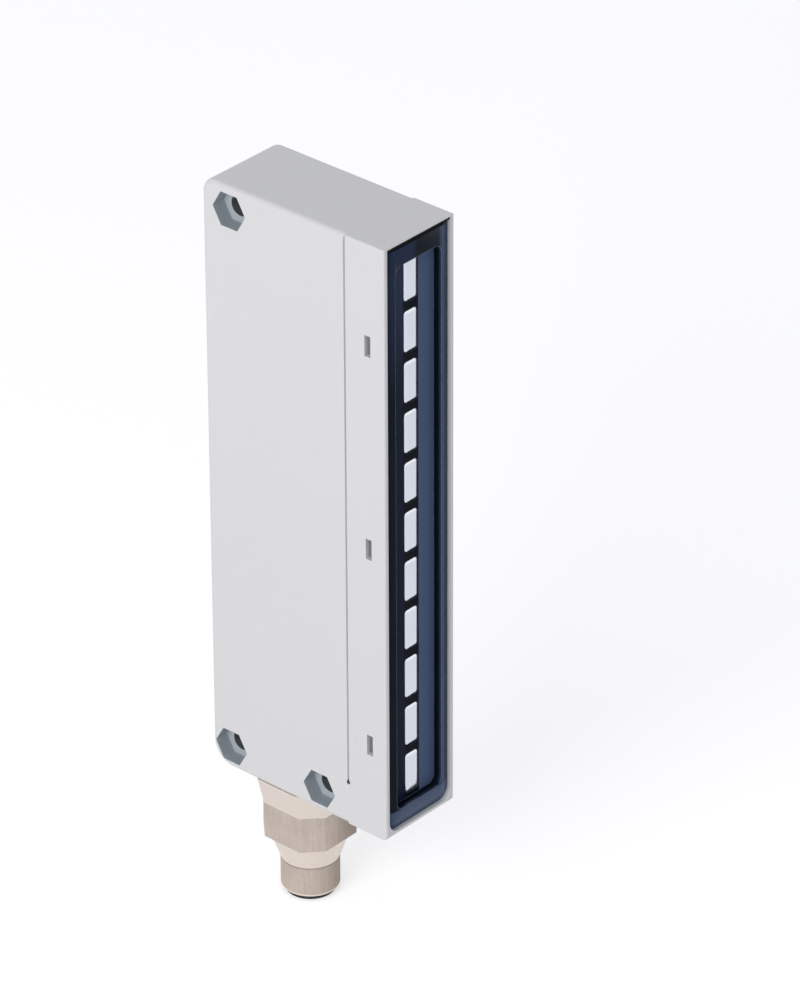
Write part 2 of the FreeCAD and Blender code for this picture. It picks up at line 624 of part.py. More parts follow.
def add_hooks(body):
    """Arms behind the plate, each with a barb that fills its snap window in the housing."""
    arm_length = "(snap_setback + snap_width / 2 + hook_tail - rebate_depth + gasket_thick)"
    inner_face = "(body_thickness / 2 - side_wall - fit_gap)"
    hooks = []
    for side, sign in (("Near", "0 - "), ("Far", "")):
        arm = add_sketch(body, f"{side}ArmSketch", "XZ_Plane",
                         x=f"{sign}({inner_face} - hook_thick / 2)",
                         y="snap_bottom", off=f"0 - {WINDOW_BACK}")
        draw_rectangle(arm, "hook_thick", "hook_height")
        hooks.append(add_pad(body, f"{side}Arm", arm, arm_length, backwards=True))
        barb = add_sketch(body, f"{side}BarbSketch", "XZ_Plane",
                          x=f"{sign}({inner_face} + (barb_reach - hook_thick) / 2)",
                          y="snap_bottom",
                          off="body_depth / 2 - snap_setback + snap_width / 2 - fit_gap")
        draw_rectangle(barb, "barb_reach + hook_thick", "snap_height - 2 * barb_gap")
        hooks.append(add_pad(body, f"{side}Barb", barb, "snap_width - 2 * fit_gap", backwards=True))
    add_row(body, "HookRow", hooks, SNAP_STEP, "snap_count")


def make_window_gasket():
    """A flat frame behind the window, with a lip that shows above the window."""
    body = add_body("window_gasket")
    outer = add_sketch(body, "FrameSketch", "XZ_Plane",
                       y="(body_height - top_rim + bottom_rim) / 2", off=f"0 - {SHOULDER}")
    draw_rectangle(outer, "body_thickness - 2 * side_rim - 2 * window_gap",
                   "body_height - top_rim - bottom_rim - 2 * window_gap")
    frame = add_pad(body, "Frame", outer, "gasket_thick")
    low = size("bottom_rim") + size("window_gap")
    lower = find_edges(frame, lambda edge: runs_along(edge, Y_AXIS)
                       and abs(edge.CenterOfMass.z - low) < NEAR)
    add_fillet(body, "FrameCorners", frame, lower, "rebate_radius - window_gap")
    lip = add_sketch(body, "LipSketch", "XZ_Plane",
                     y="body_height - top_rim - window_gap - (gasket_lip - window_gap) / 2",
                     off=f"0 - {WINDOW_BACK}")
    draw_rectangle(lip, "body_thickness - 2 * side_rim - 2 * window_gap", "gasket_lip - window_gap")
    add_pad(body, "Lip", lip, WINDOW_THICK)
    inner = add_sketch(body, "InsideSketch", "XZ_Plane", y=COLUMN_MIDDLE, off="body_depth / 2")
    draw_rectangle(inner, "body_thickness - 2 * side_wall", f"{COLUMN_HEIGHT} + 2 * fit_gap")
    add_pocket(body, "Inside", inner, "body_depth")


def make_lens_strip():
    """A strip behind the channel floor, with a crowned lens cell through each aperture."""
    body = add_body("lens_strip")
    base = add_sketch(body, "StripSketch", "XZ_Plane", y=COLUMN_MIDDLE, off=f"0 - {STRIP_BACK}")
    draw_rectangle(base, "strip_width", f"{COLUMN_HEIGHT} - 2 * strip_inset")
    add_pad(body, "Strip", base, "strip_thick")
    sketch = add_sketch(body, "CellSketch", "XZ_Plane", y=LOWEST_LENS, off=f"0 - {STRIP_BACK}")
    draw_rectangle(sketch, "cell_width", "cell_height")
    cell = add_pad(body, "Cell", sketch, "strip_thick + channel_wall + cell_proud")
    half = size("cell_width") / 2
    corners = find_edges(cell, lambda edge: runs_along(edge, Y_AXIS)
                         and abs(abs(edge.CenterOfMass.x) - half) < NEAR)
    rounded = add_fillet(body, "CellCorners", cell, corners, "cell_radius")
    face_y = min(vertex.Y for vertex in rounded.Shape.Vertexes)
    rim = find_edges(rounded, lambda edge: edge.BoundBox.YMax < face_y + NEAR)
    crown = add_fillet(body, "CellCrown", rounded, rim, "cell_crown")
    add_row(body, "CellRow", [cell, rounded, crown], "lens_pitch", LENS_COUNT)


def make_lens_holder():
    """Black frame with a light tunnel behind each lens cell, tapped for its screws."""
    body = add_body("lens_holder")
    outer = add_sketch(body, "HolderSketch", "XZ_Plane", y=COLUMN_MIDDLE, off=f"0 - {OPTICS_FRONT}")
    draw_rectangle(outer, "body_thickness - 2 * side_wall - 2 * holder_gap", COLUMN_HEIGHT)
    add_pad(body, "Holder", outer, "holder_depth")
    sketch = add_sketch(body, "TunnelSketch", "XZ_Plane", y=LOWEST_LENS, off=f"0 - {STRIP_BACK}")
    draw_rectangle(sketch, "tunnel_width", "tunnel_height")
    tunnel = add_pocket(body, "Tunnel", sketch, "holder_depth + cut_extra")
    add_row(body, "TunnelRow", [tunnel], "lens_pitch", LENS_COUNT)
    for name, across, up in SCREW_PLACES:
        hole = add_sketch(body, f"{name}Sketch", "XZ_Plane", across, up, f"0 - {OPTICS_FRONT}")
        draw_circle(hole, "screw_shank + 2 * fit_gap")
        add_pocket(body, name, hole, "screw_reach + fit_gap", backwards=True)


# The holder's screws sit beside the last lens cell but one at each end
SCREW_PLACES = [
    ("UpperScrew", "screw_offset", f"{COLUMN_MIDDLE} + lens_pitch * ({LENS_COUNT} - 3) / 2"),
    ("LowerScrew", "0 - screw_offset", f"{COLUMN_MIDDLE} - lens_pitch * ({LENS_COUNT} - 3) / 2"),
]


# Optics board and what it carries

def make_optics_board():
    body = add_body("optics_board")
    outline = add_sketch(body, "BoardSketch", "XZ_Plane", y=COLUMN_MIDDLE, off=f"0 - {OPTICS_BACK}")
    draw_rectangle(outline, "body_thickness - 2 * side_wall - 2 * optics_gap",
                   f"{COLUMN_HEIGHT} - 2 * optics_inset")
    add_pad(body, "Board", outline, "board_thick")
    for name, across, up in SCREW_PLACES:
        hole = add_sketch(body, f"{name}Sketch", "XZ_Plane", across, up, f"0 - {OPTICS_FRONT}")
        draw_circle(hole, "screw_shank + 2 * fit_gap")
        add_pocket(body, name, hole, "board_thick + cut_extra")


# Solids of simple form, placed by formulas

TURNS = {
    "up": Rotation(),
    "front": Rotation(X_AXIS, 90),
    "near": Rotation(Y_AXIS, -90),
    "far": Rotation(Y_AXIS, 90),
}


def move(item, across, depth, up, turn="up"):
    item.Placement = Placement(Vector(), TURNS[turn])
    for axis, text in (("x", across), ("y", depth), ("z", up)):
        bind(item, f".Placement.Base.{axis}", text)
    return item


def add_cylinder(name, radius, length, turn, across, depth, up):
    """A cylinder that grows from its place towards a side: up, front, near or far."""
    item = doc.addObject("Part::Cylinder", name)
    bind(item, "Radius", radius)
    bind(item, "Height", length)
    return move(item, across, depth, up, turn)


def add_box(name, across, depth, up, low):
    """A box of three sizes from its lowest corner."""
    item = doc.addObject("Part::Box", name)
    bind(item, "Length", across)
    bind(item, "Width", depth)
    bind(item, "Height", up)
    return move(item, *low)


def add_ring(name, radius, section, across, depth, up):
    item = doc.addObject("Part::Torus", name)
    bind(item, "Radius1", radius)
    bind(item, "Radius2", section)
    return move(item, across, depth, up)


def join_shapes(name, shapes):
    joined = doc.addObject("Part::MultiFuse", name)
    joined.Shapes = shapes
    return joined


def cut_shapes(name, base, tool):
    remains = doc.addObject("Part::Cut", name)
    remains.Base = base
    remains.Tool = tool
    return remains


def group_shapes(label, shapes):
    """Separate solids that make one named piece."""
    group = doc.addObject("Part::Compound", label)
    group.Links = shapes
    return name_part(group, label)


def make_holder_screws():
    """Two screws from behind the optics board, as separate solids in one piece."""
    screws = []
    for name, across, up in SCREW_PLACES:
        seat = f"{OPTICS_BACK} + head_height"
        head = add_cylinder(f"{name}Head", "screw_head / 2", "head_height", "front", across, seat, up)
        shank = add_cylinder(f"{name}Shank", "screw_shank / 2",
                             "head_height + board_thick + screw_reach", "front", across, seat, up)
        recess = add_cylinder(f"{name}Recess", "screw_shank / 2", "head_height / 2", "front",
                              across, seat, up)
        screws.append(cut_shapes(name, join_shapes(f"{name}Blank", [head, shank]), recess))
    group_shapes("holder_screws", screws)


def make_optical_diodes():
    """A domed diode in each light tunnel."""
    diodes = []
    for index in range(round(work_out(LENS_COUNT))):
        up = f"{LOWEST_LENS} + lens_pitch * {index}"
        barrel = add_cylinder(f"DiodeBarrel{index}", "diode_radius", "diode_barrel", "front",
                              "0", OPTICS_FRONT, up)
        dome = doc.addObject("Part::Sphere", f"DiodeDome{index}")
        bind(dome, "Radius", "diode_radius")
        dome.Angle1 = 0
        move(dome, "0", f"{OPTICS_FRONT} - diode_barrel", up, "front")
        diodes.append(join_shapes(f"Diode{index}", [barrel, dome]))
    group_shapes("optical_diodes", diodes)


def make_receiver():
    """Amplifier chip on the back of the optics board, under a thin sheet can."""
    chip = add_box("Amplifier", "amplifier_width", "chip_thick", "amplifier_width",
                   ("0 - amplifier_width / 2", OPTICS_BACK, "amplifier_rise - amplifier_width / 2"))
    group_shapes("amplifier_chip", [chip])
    shell = add_box("ShieldOuter", "shield_width", "shield_depth", "shield_width",
                    ("0 - shield_width / 2", OPTICS_BACK, "amplifier_rise - shield_width / 2"))
    inside = add_box("ShieldInner", "shield_width - 2 * shield_sheet", "shield_depth - shield_sheet",
                     "shield_width - 2 * shield_sheet",
                     ("shield_sheet - shield_width / 2", OPTICS_BACK,
                      "amplifier_rise + shield_sheet - shield_width / 2"))
    group_shapes("shield_can", [cut_shapes("Shield", shell, inside)])


def make_board_header():
    """Block between the back of the optics board and the front edge of the main board."""
    block = add_box("Header", "header_width", f"{MAIN_FRONT} - {OPTICS_BACK}", "header_height",
                    ("0 - header_width / 2", OPTICS_BACK, f"{COLUMN_MIDDLE} - header_height / 2"))
    group_shapes("board_header", [block])


# Main board and what it carries

def make_main_board():
    body = add_body("main_board")
    outline = add_sketch(body, "BoardSketch", "YZ_Plane", MAIN_MIDDLE,
                         "(body_height - main_top + main_rise) / 2")
    draw_rectangle(outline, f"{MAIN_BACK} - {MAIN_FRONT}", "body_height - main_top - main_rise")
    add_pad(body, "Board", outline, "board_thick", symmetric=True)


def add_chip(name, depth, height, thick, rise, middle=MAIN_MIDDLE, side="near"):
    """A box on one face of the main board, its middle above the board's underside."""
    across = f"0 - board_thick / 2 - {thick}" if side == "near" else "board_thick / 2"
    low = (across, f"{middle} - {depth} / 2", f"main_rise + {rise} - {height} / 2")
    return add_box(name, thick, depth, height, low)


def make_chips():
    processor = add_chip("Processor", "processor_width", "processor_width", "chip_thick", "processor_rise")
    group_shapes("processor_chip", [processor])
    crystal = add_chip("Crystal", "crystal_width", "crystal_height", "chip_thick", "crystal_rise")
    group_shapes("clock_crystal", [crystal])
    drivers = []
    for index in range(round(size("driver_count"))):
        rise = f"driver_rise + {index} * driver_spacing"
        drivers.append(add_chip(f"Driver{index}", "driver_width", "driver_width", "chip_thick", rise,
                                side="far"))
    group_shapes("driver_chips", drivers)
    regulator = add_chip("Regulator", "driver_width", "driver_width", "chip_thick", "regulator_rise",
                         side="far")
    group_shapes("voltage_regulator", [regulator])


def make_power_parts():
    inductor = add_chip("Inductor", "inductor_width", "inductor_width", "inductor_thick", "inductor_rise")
    group_shapes("power_inductor", [inductor])
    cans = []
    for index in range(round(size("storage_count"))):
        up = f"main_rise + storage_rise + {index} * storage_spacing"
        cans.append(add_cylinder(f"Storage{index}", "storage_radius",
                                 "body_thickness / 2 - side_wall - board_thick / 2 - storage_gap", "near",
                                 "0 - board_thick / 2", MAIN_MIDDLE, up))
    group_shapes("storage_capacitors", cans)
    ceramics = []
    for index in range(round(size("ceramic_count"))):
        rise = f"ceramic_rise + {index} * ceramic_spacing"
        ceramics.append(add_chip(f"Ceramic{index}", "ceramic_width", "ceramic_height",
                                 "ceramic_height", rise, middle=f"({MAIN_BACK} - ceramic_back)"))
    group_shapes("ceramic_capacitors", ceramics)


# Connector and what it carries

BORE = "(barrel_radius - barrel_wall)"
SLEEVE_END = "(0 - barrel_drop - sleeve_proud)"
BORE_TOP = "(bore_depth - barrel_drop)"
PIN_PLACES = [(1, 1), (1, -1), (-1, 1), (-1, -1)]


def pin_place(across, along):
    """Formulas for the place of one pin: the two signs pick the quarter that it is in."""
    return f"pin_circle / sqrt(2) * ({across})", f"{PORT_Y} + pin_circle / sqrt(2) * ({along})"


def make_connector_body():
    """Eight-sided body that flares to the housing, then a cone, a round barrel and a spigot."""
    body = add_body("connector_body")
    base = eight_sides(body, "BaseSketch")
    add_pad(body, "Base", base, "base_drop - flare_height", backwards=True)
    flare = add_pad(body, "Flare", eight_sides(body, "FlareSketch"), "flare_height")
    bind(flare, "TaperAngle", "atan(flare_spread / flare_height)")
    turned = add_sketch(body, "TurnedSketch", "YZ_Plane", PORT_Y)
    cone = "base_flats / 2 - cone_inset"
    draw_outline(turned, [("0", "0 - barrel_drop"), ("0", "spigot_height"),
                          ("spigot_radius", "spigot_height"), ("spigot_radius", "0 - flare_height"),
                          (cone, "0 - flare_height"), (cone, "0 - base_drop"),
                          ("barrel_radius", "0 - cone_drop"), ("barrel_radius", "0 - barrel_drop")])
    turn = body.newObject("PartDesign::Revolution", "Turned")
    turn.Profile = turned
    turn.ReferenceAxis = (turned, ["V_Axis"])
    turn.Angle = 360
    doc.recompute()
    bore = add_sketch(body, "BoreSketch", "XY_Plane", y=PORT_Y, off="0 - barrel_drop")
    draw_circle(bore, f"2 * {BORE}")
    add_pocket(body, "Bore", bore, "bore_depth", backwards=True)
    pilot = add_sketch(body, "PilotSketch", "XY_Plane", y=PORT_Y, off="0 - barrel_drop")
    draw_circle(pilot, "2 * pilot_radius + 2 * fit_gap")
    add_pocket(body, "Pilot", pilot, "barrel_drop + spigot_height + cut_extra", backwards=True)
    seat = add_sketch(body, "SealSketch", "XY_Plane", y=PORT_Y)
    draw_circle(seat, "2 * (seal_radius - seal_section - seal_gap)")
    draw_circle(seat, "2 * (seal_radius + seal_section + seal_gap)")
    cut = add_pocket(body, "SealSeat", seat, "2 * seal_section + 2 * seal_gap")
    low = 0 - size("barrel_drop")
    outer = size("barrel_radius")
    rim = find_edges(cut, lambda edge: abs(edge.BoundBox.ZMax - low) < NEAR
                     and edge.BoundBox.ZLength < NEAR and abs(edge.BoundBox.XMax - outer) < NEAR)
    add_chamfer(body, "RimChamfer", cut, rim, "rim_chamfer")


def eight_sides(body, name):
    """A square with its corners cut, round the connector's axis, where the flare begins."""
    sketch = add_sketch(body, name, "XY_Plane", y=PORT_Y, off="0 - flare_height")
    side = "base_flats / 2"
    inner = "base_flats / 2 - base_corner"
    minus_side = "0 - base_flats / 2"
    minus_inner = "base_corner - base_flats / 2"
    corners = [(minus_side, minus_inner), (minus_side, inner), (minus_inner, side), (inner, side),
               (side, inner), (side, minus_inner), (inner, minus_side), (minus_inner, minus_side)]
    return draw_outline(sketch, corners)


def make_contact_insert():
    """Black insert: a pilot in the spigot, a plug in the bore, and a sleeve round the pins."""
    body = add_body("contact_insert")
    outer = f"({BORE} - fit_gap)"
    inner = f"({BORE} - fit_gap - sleeve_wall)"
    groove_low = "(insert_seal_rise - barrel_drop - seal_section - seal_gap)"
    groove_high = "(insert_seal_rise - barrel_drop + seal_section + seal_gap)"
    groove_floor = f"({outer} - 2 * seal_section - seal_gap + fit_gap)"
    turned = add_sketch(body, "TurnedSketch", "YZ_Plane", PORT_Y)
    draw_outline(turned, [("0", f"{SLEEVE_END} + socket_depth"), ("0", "spigot_height"),
                          ("pilot_radius", "spigot_height"), ("pilot_radius", BORE_TOP),
                          (outer, BORE_TOP), (outer, groove_high), (groove_floor, groove_high),
                          (groove_floor, groove_low), (outer, groove_low), (outer, SLEEVE_END),
                          (inner, SLEEVE_END), (inner, f"{SLEEVE_END} + socket_depth")])
    turn = body.newObject("PartDesign::Revolution", "Turned")
    turn.Profile = turned
    turn.ReferenceAxis = (turned, ["V_Axis"])
    turn.Angle = 360
    doc.recompute()
    root = "sleeve_wall / 2"
    key = add_sketch(body, "KeySketch", "XY_Plane", y=f"{PORT_Y} + {inner} + ({root} - key_height) / 2",
                     off=f"{SLEEVE_END} + socket_depth")
    draw_rectangle(key, "key_width", f"key_height + {root}")
    add_pad(body, "Key", key, "socket_depth - sleeve_proud", backwards=True)
    whole = "barrel_drop + sleeve_proud + spigot_height + cut_extra"
    for index, place in enumerate(PIN_PLACES):
        across, depth = pin_place(*place)
        hole = add_sketch(body, f"PinSketch{index}", "XY_Plane", across, depth, SLEEVE_END)
        draw_circle(hole, "2 * pin_radius")
        add_pocket(body, f"PinHole{index}", hole, whole, backwards=True)


def make_contact_pins():
    pins = []
    for index, place in enumerate(PIN_PLACES):
        across, depth = pin_place(*place)
        tip = f"{SLEEVE_END} + pin_setin + pin_radius"
        shaft = add_cylinder(f"PinShaft{index}", "pin_radius", f"spigot_height + pin_tail - ({tip})", "up",
                             across, depth, tip)
        dome = doc.addObject("Part::Sphere", f"PinTip{index}")
        bind(dome, "Radius", "pin_radius")
        dome.Angle2 = 0
        move(dome, across, depth, tip)
        pins.append(join_shapes(f"Pin{index}", [shaft, dome]))
    group_shapes("contact_pins", pins)


def make_leads():
    """Straight leads from the pins up to a terminal block on each face of the main board."""
    leads = []
    for index, place in enumerate(PIN_PLACES):
        across, depth = pin_place(*place)
        leads.append(add_cylinder(f"Lead{index}", "lead_radius", "main_rise - spigot_height - pin_tail",
                                  "up", across, depth, "spigot_height + pin_tail"))
    group_shapes("connector_leads", leads)
    blocks = []
    for side, low in (("Near", "0 - board_thick / 2 - terminal_thick"), ("Far", "board_thick / 2")):
        blocks.append(add_box(f"{side}Terminal", "terminal_thick", "terminal_depth", "terminal_height",
                              (low, f"{PORT_Y} - terminal_depth / 2", "main_rise")))
    group_shapes("lead_terminals", blocks)


def make_connector_seals():
    outer = add_ring("HousingRing", "seal_radius", "seal_section", "0", PORT_Y,
                     "0 - seal_section - seal_gap")
    group_shapes("connector_seal", [outer])
    inner = add_ring("InsertRing", f"{BORE} - seal_section - seal_gap", "seal_section", "0", PORT_Y,
                     "insert_seal_rise - barrel_drop")
    group_shapes("insert_seal", [inner])


def make_connector_nut():
    body = add_body("connector_nut")
    sketch = add_sketch(body, "NutSketch", "XY_Plane", y=PORT_Y, off="bottom_wall")
    draw_hexagon(sketch, "nut_width")
    add_pad(body, "Nut", sketch, "nut_thick")
    hole = add_sketch(body, "NutBoreSketch", "XY_Plane", y=PORT_Y, off="bottom_wall")
    draw_circle(hole, "2 * spigot_radius + fit_gap")
    add_pocket(body, "NutBore", hole, "nut_thick + cut_extra", backwards=True)


make_housing()
make_front_bezel()
make_window_gasket()
make_lens_strip()
make_lens_holder()
make_optics_board()
make_holder_screws()
make_optical_diodes()
make_receiver()
make_board_header()
make_main_board()
make_chips()
make_power_parts()
make_connector_body()
make_contact_insert()
make_contact_pins()
make_leads()
make_connector_seals()
make_connector_nut()
doc.recompute()

for item in doc.Objects:
    if "Invalid" in item.State or "Error" in item.State:
        raise RuntimeError(f"{item.Name} failed: {item.State}")
for part in PARTS:
    if part.Shape.isNull() or not part.Shape.isValid():
        raise RuntimeError(f"{part.Label} has no valid shape")

os.makedirs("parts", exist_ok=True)
for part in PARTS:
    part.Shape.exportStep(f"parts/{part.Label}.step")
    print(part.Label, len(part.Shape.Solids), round(part.Shape.Volume, 2))
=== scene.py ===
import json
import math

import bmesh
import bpy
from mathutils import Matrix, Vector


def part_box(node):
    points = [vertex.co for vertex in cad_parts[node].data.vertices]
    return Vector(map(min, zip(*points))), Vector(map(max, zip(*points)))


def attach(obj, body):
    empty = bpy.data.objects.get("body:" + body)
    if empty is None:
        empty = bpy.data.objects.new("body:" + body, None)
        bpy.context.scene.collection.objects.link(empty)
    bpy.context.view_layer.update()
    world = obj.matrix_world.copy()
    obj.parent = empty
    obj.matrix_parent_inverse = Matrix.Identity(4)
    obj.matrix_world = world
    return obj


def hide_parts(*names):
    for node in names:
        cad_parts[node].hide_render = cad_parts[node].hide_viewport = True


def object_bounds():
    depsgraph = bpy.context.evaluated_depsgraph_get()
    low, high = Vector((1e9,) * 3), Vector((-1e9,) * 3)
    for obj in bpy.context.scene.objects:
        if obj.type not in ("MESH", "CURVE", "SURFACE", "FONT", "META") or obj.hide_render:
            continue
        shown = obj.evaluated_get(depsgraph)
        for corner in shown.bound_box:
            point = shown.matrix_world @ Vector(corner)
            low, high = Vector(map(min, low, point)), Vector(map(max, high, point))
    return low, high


# The looks of an upright area sensor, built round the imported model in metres.
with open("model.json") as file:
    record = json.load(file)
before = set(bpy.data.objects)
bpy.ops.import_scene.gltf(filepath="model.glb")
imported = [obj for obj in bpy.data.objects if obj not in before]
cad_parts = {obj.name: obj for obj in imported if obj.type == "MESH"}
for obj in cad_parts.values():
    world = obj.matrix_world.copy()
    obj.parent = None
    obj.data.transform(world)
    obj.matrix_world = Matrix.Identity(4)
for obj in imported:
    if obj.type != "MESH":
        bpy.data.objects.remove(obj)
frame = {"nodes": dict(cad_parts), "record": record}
cad_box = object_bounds()

MM = 0.001
BODY = "root"
WHITE = (1.0, 1.0, 1.0)

# Camera at the photograph's viewing angle
CAMERA_AZIMUTH = math.radians(-48.65)
CAMERA_ELEVATION = math.radians(30.51)
CAMERA_ROLL = math.radians(-0.21)
CAMERA_DISTANCE = 1.2322
CAMERA_TARGET = Vector((0.00294, -0.03141, -0.05685))
CAMERA_REACH = (0.05, 50.0)
LENS_MM = 231.3
SENSOR_MM = 36.0

# Studio. The lifts whiten the floor only where it is seen or mirrored.
FLOOR_SIZE = 6.0
FLOOR_COLOUR = (0.86, 0.86, 0.86)
FLOOR_ROUGHNESS = 0.9
FLOOR_LIFT = 0.45
MIRRORED_LIFT = 0.25
WORLD_COLOUR = (0.935, 0.945, 1.0)
WORLD_LEVEL = 0.54
KEY_PLACE = Vector((-1.2, -0.2, 0.42))
KEY_SIZE = 0.9
KEY_WATTS = 8.1
KEY_COLOUR = (1.0, 0.985, 0.965)
FILL_PLACE = Vector((0.75, -1.3, 0.25))
FILL_SIZE = 0.8
FILL_WATTS = 0.2
FILL_COLOUR = (0.86, 0.93, 1.0)

# Sizes of the part that the looks need
NUT_FLATS = 7.2 * MM
NUT_POCKET = 3.2 * MM
BORE_RADIUS = 2.2 * MM
GROOVE_SETBACK = 9.9 * MM
GROOVE_RISE = 9.8 * MM
RELIEF_RADIUS = 0.45 * MM
WINDOW_RECESS = 0.2 * MM
CHANNEL_DEPTH = 2.0 * MM
CHANNEL_SIDE = 6.5 * MM
CELL_WIDTH = 3.8 * MM
CELL_HEIGHT = 9.0 * MM
CELL_PITCH = 10.95 * MM
CELL_COUNT = 11
STRIP_THICK = 1.0 * MM
HOOK_SIDE = 8.4 * MM
FLARE_HEIGHT = 6.0 * MM
BARREL_LENGTH = 7.0 * MM
PIN_RADIUS = 0.5 * MM
PIN_CIRCLE = 2.5 * MM
PIN_COUNT = 4

# Where the finishes and the painted reflections, highlights, sheen, shadows and shade change
SKIN = 0.06 * MM
REFLECTION_REACH = 0.8 * MM
LOW_REFLECTION_RISE = 5.0 * MM
SHEEN_DROP = 36.0 * MM
SHEEN_REACH = 12.0 * MM
LIP_SHADE = 1.4 * MM
RUNG_REACH = 0.25 * MM
RIM_HIGHLIGHT_LINE = 0.6 * MM
SHADE_LINE = 0.6 * MM
SIDE_SHADE_START = -6.5 * MM
SIDE_SHADE_END = 5.5 * MM

# How the pieces are rounded, divided and turned
HOUSING_ROUNDING = 0.12 * MM
WINDOW_ROUNDING = 0.18 * MM
GASKET_ROUNDING = 0.08 * MM
CONNECTOR_ROUNDING = 0.12 * MM
INSERT_ROUNDING = 0.1 * MM
CELL_ROUNDING = 0.7 * MM
CELL_CROWN = 0.12 * MM
CELL_GRID = (15, 9, 33)
BACKING_GRID = (13, 5, 60)
BACKING_ROUNDING_SHARE = 0.2
PIN_TIP = 0.5 * MM
PIN_TIP_SHARE = 0.12
PIN_TURN = math.pi / 4
PIN_SIDES = 20
PIN_RINGS = 160

# Limits and weights for merging, shading and picking faces
MERGE_REACH = 1e-6
SHARP_ANGLE = math.radians(32.0)
FLAT_WEIGHT = 80
FLUSH = 0.02 * MM
FORWARDS = -0.9
NEARLY_LEVEL = 0.2

# Scales, stretches, shares and gloss of the finishes
HIGHLIGHT_BREAK_SCALE = 900.0
LATHE_STRETCH = (0.03, 0.03, 1.0)
SPANGLE_STRETCH = (1.0, 1.0, 0.45)
STREAK_STRETCH = (1.0, 1.0, 0.06)
STREAK_SCALE = 3200.0
TRACK_SCALE = 420.0
TRACK_WIDTH = 0.06
SHEEN_SHARE = 0.6
SIDE_SHADE_SHARE = 0.85
BARREL_SHADE_SHARE = 0.6
LIP_ROUGHNESS = 0.7
WINDOW_IOR = 1.4

# Colours of the finishes and of the painted reflections, highlights, sheen, shadows and shade
SHELL_GREY = (0.735, 0.737, 0.745)
SHELL_EDGE_HIGHLIGHT = (0.82, 0.82, 0.82)
POCKET_FLOOR_SHADE = (0.48, 0.53, 0.56)
POCKET_WALL_SHADE = (0.385, 0.43, 0.465)
BORE_SHADE = (0.16, 0.165, 0.175)
WINDOW_DARK = (0.004, 0.006, 0.012)
WINDOW_SLATE_REFLECTION = (0.035, 0.062, 0.125)
WINDOW_LOW_REFLECTION = (0.075, 0.105, 0.175)
WINDOW_NAVY_SHEEN = (0.017, 0.025, 0.058)
WINDOW_EDGE_HIGHLIGHT = (0.36, 0.44, 0.55)
WINDOW_GLOSS = (0.5, 0.75, 1.0)
LIP_SHADOW = (0.002, 0.002, 0.002)
RUNG_SHADE = (0.004, 0.005, 0.008)
CHANNEL_SLATE = (0.085, 0.125, 0.225)
CHANNEL_NAVY_SHADOW = (0.010, 0.014, 0.034)
CHANNEL_SHADOW_SHEEN = (0.030, 0.042, 0.085)
CHANNEL_GLOSS = (0.6, 0.8, 1.0)
LENS_SILVER = (0.84, 0.875, 0.945)
MILLED_DARK = (0.42, 0.35, 0.305)
MILLED_LIGHT = (0.80, 0.705, 0.635)
MILLED_SIDE_SHADE = (0.27, 0.22, 0.175)
RIM_HIGHLIGHT = (0.95, 0.88, 0.80)
BARREL_SHADE = (0.22, 0.18, 0.15)
SOLDER_MASK = (0.012, 0.085, 0.045)
COVERED_TRACK = (0.03, 0.17, 0.08)

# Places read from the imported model
MOUNTS = {mount["name"]: mount for mount in frame["record"]["mounts"]}
SLOTS = {part["node"]: part["material_slot"] for part in frame["record"]["subparts"]}
UPPER_HOLE, LOWER_MIDDLE = (Vector(MOUNTS[name]["pos_m"]) for name in ("upper_hole", "lower_holes"))
LOWER_STEP = Vector((0.0, MOUNTS["lower_holes"]["dims"]["spacing_x_mm"] * MM / 2, 0.0))
SCREW_HOLES = [UPPER_HOLE, LOWER_MIDDLE + LOWER_STEP, LOWER_MIDDLE - LOWER_STEP]
HOUSING_LOW, HOUSING_HIGH = (Vector(corner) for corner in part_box("housing"))
GROOVE_END = Vector((0.0, HOUSING_LOW.y + GROOVE_SETBACK, HOUSING_LOW.z + GROOVE_RISE))
CHANNEL_FLOOR = HOUSING_LOW.y + WINDOW_RECESS + CHANNEL_DEPTH
CHANNEL_MIDDLE = CHANNEL_FLOOR - CHANNEL_DEPTH / 2
LOW_REFLECTION_END = HOUSING_LOW.z + LOW_REFLECTION_RISE
FLARE_END = HOUSING_LOW.z - FLARE_HEIGHT
RIM_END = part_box("connector_body")[0][2]
BARREL_TOP = RIM_END + BARREL_LENGTH


# Node trees

FLOAT = "NodeSocketFloat"
INTEGER = "NodeSocketInt"
VECTOR = "NodeSocketVector"
COLOUR = "NodeSocketColor"
MATERIAL = "NodeSocketMaterial"

# A mix node's two inputs and its output, for each kind of value
MIX_SOCKETS = {"FLOAT": (2, 3, 0), "RGBA": (6, 7, 2)}


def add_node(tree, kind, **settings):
    node = tree.nodes.new(kind)
    for name, value in settings.items():
        setattr(node, name, value)
    return node


def feed(tree, socket, source):
    """Give an input a plain value, or link it to another node's output."""
    if isinstance(source, bpy.types.NodeSocket):
        tree.links.new(source, socket)
    else:
        socket.default_value = source


def calculate(tree, operation, *sources, clamp=False):
    node = add_node(tree, "ShaderNodeMath", operation=operation, use_clamp=clamp)
    for index, source in enumerate(sources):
        feed(tree, node.inputs[index], source)
    return node.outputs["Value"]


def chain(tree, operation, result, *others):
    """One operation over two or more values, from the first to the last."""
    for other in others:
        result = calculate(tree, operation, result, other)
    return result


def product(tree, *sources):
    return chain(tree, "MULTIPLY", *sources)


def mixture(tree, first, second, share):
    """A weighted sum: the share of the first level and the rest of the second."""
    return calculate(tree, "ADD", product(tree, first, share), product(tree, second, 1.0 - share))


def vector_outputs(tree, operation, sources, scale=None):
    node = add_node(tree, "ShaderNodeVectorMath", operation=operation)
    for index, source in enumerate(sources):
        feed(tree, node.inputs[index], source)
    if scale is not None:
        feed(tree, node.inputs["Scale"], scale)
    return node.outputs


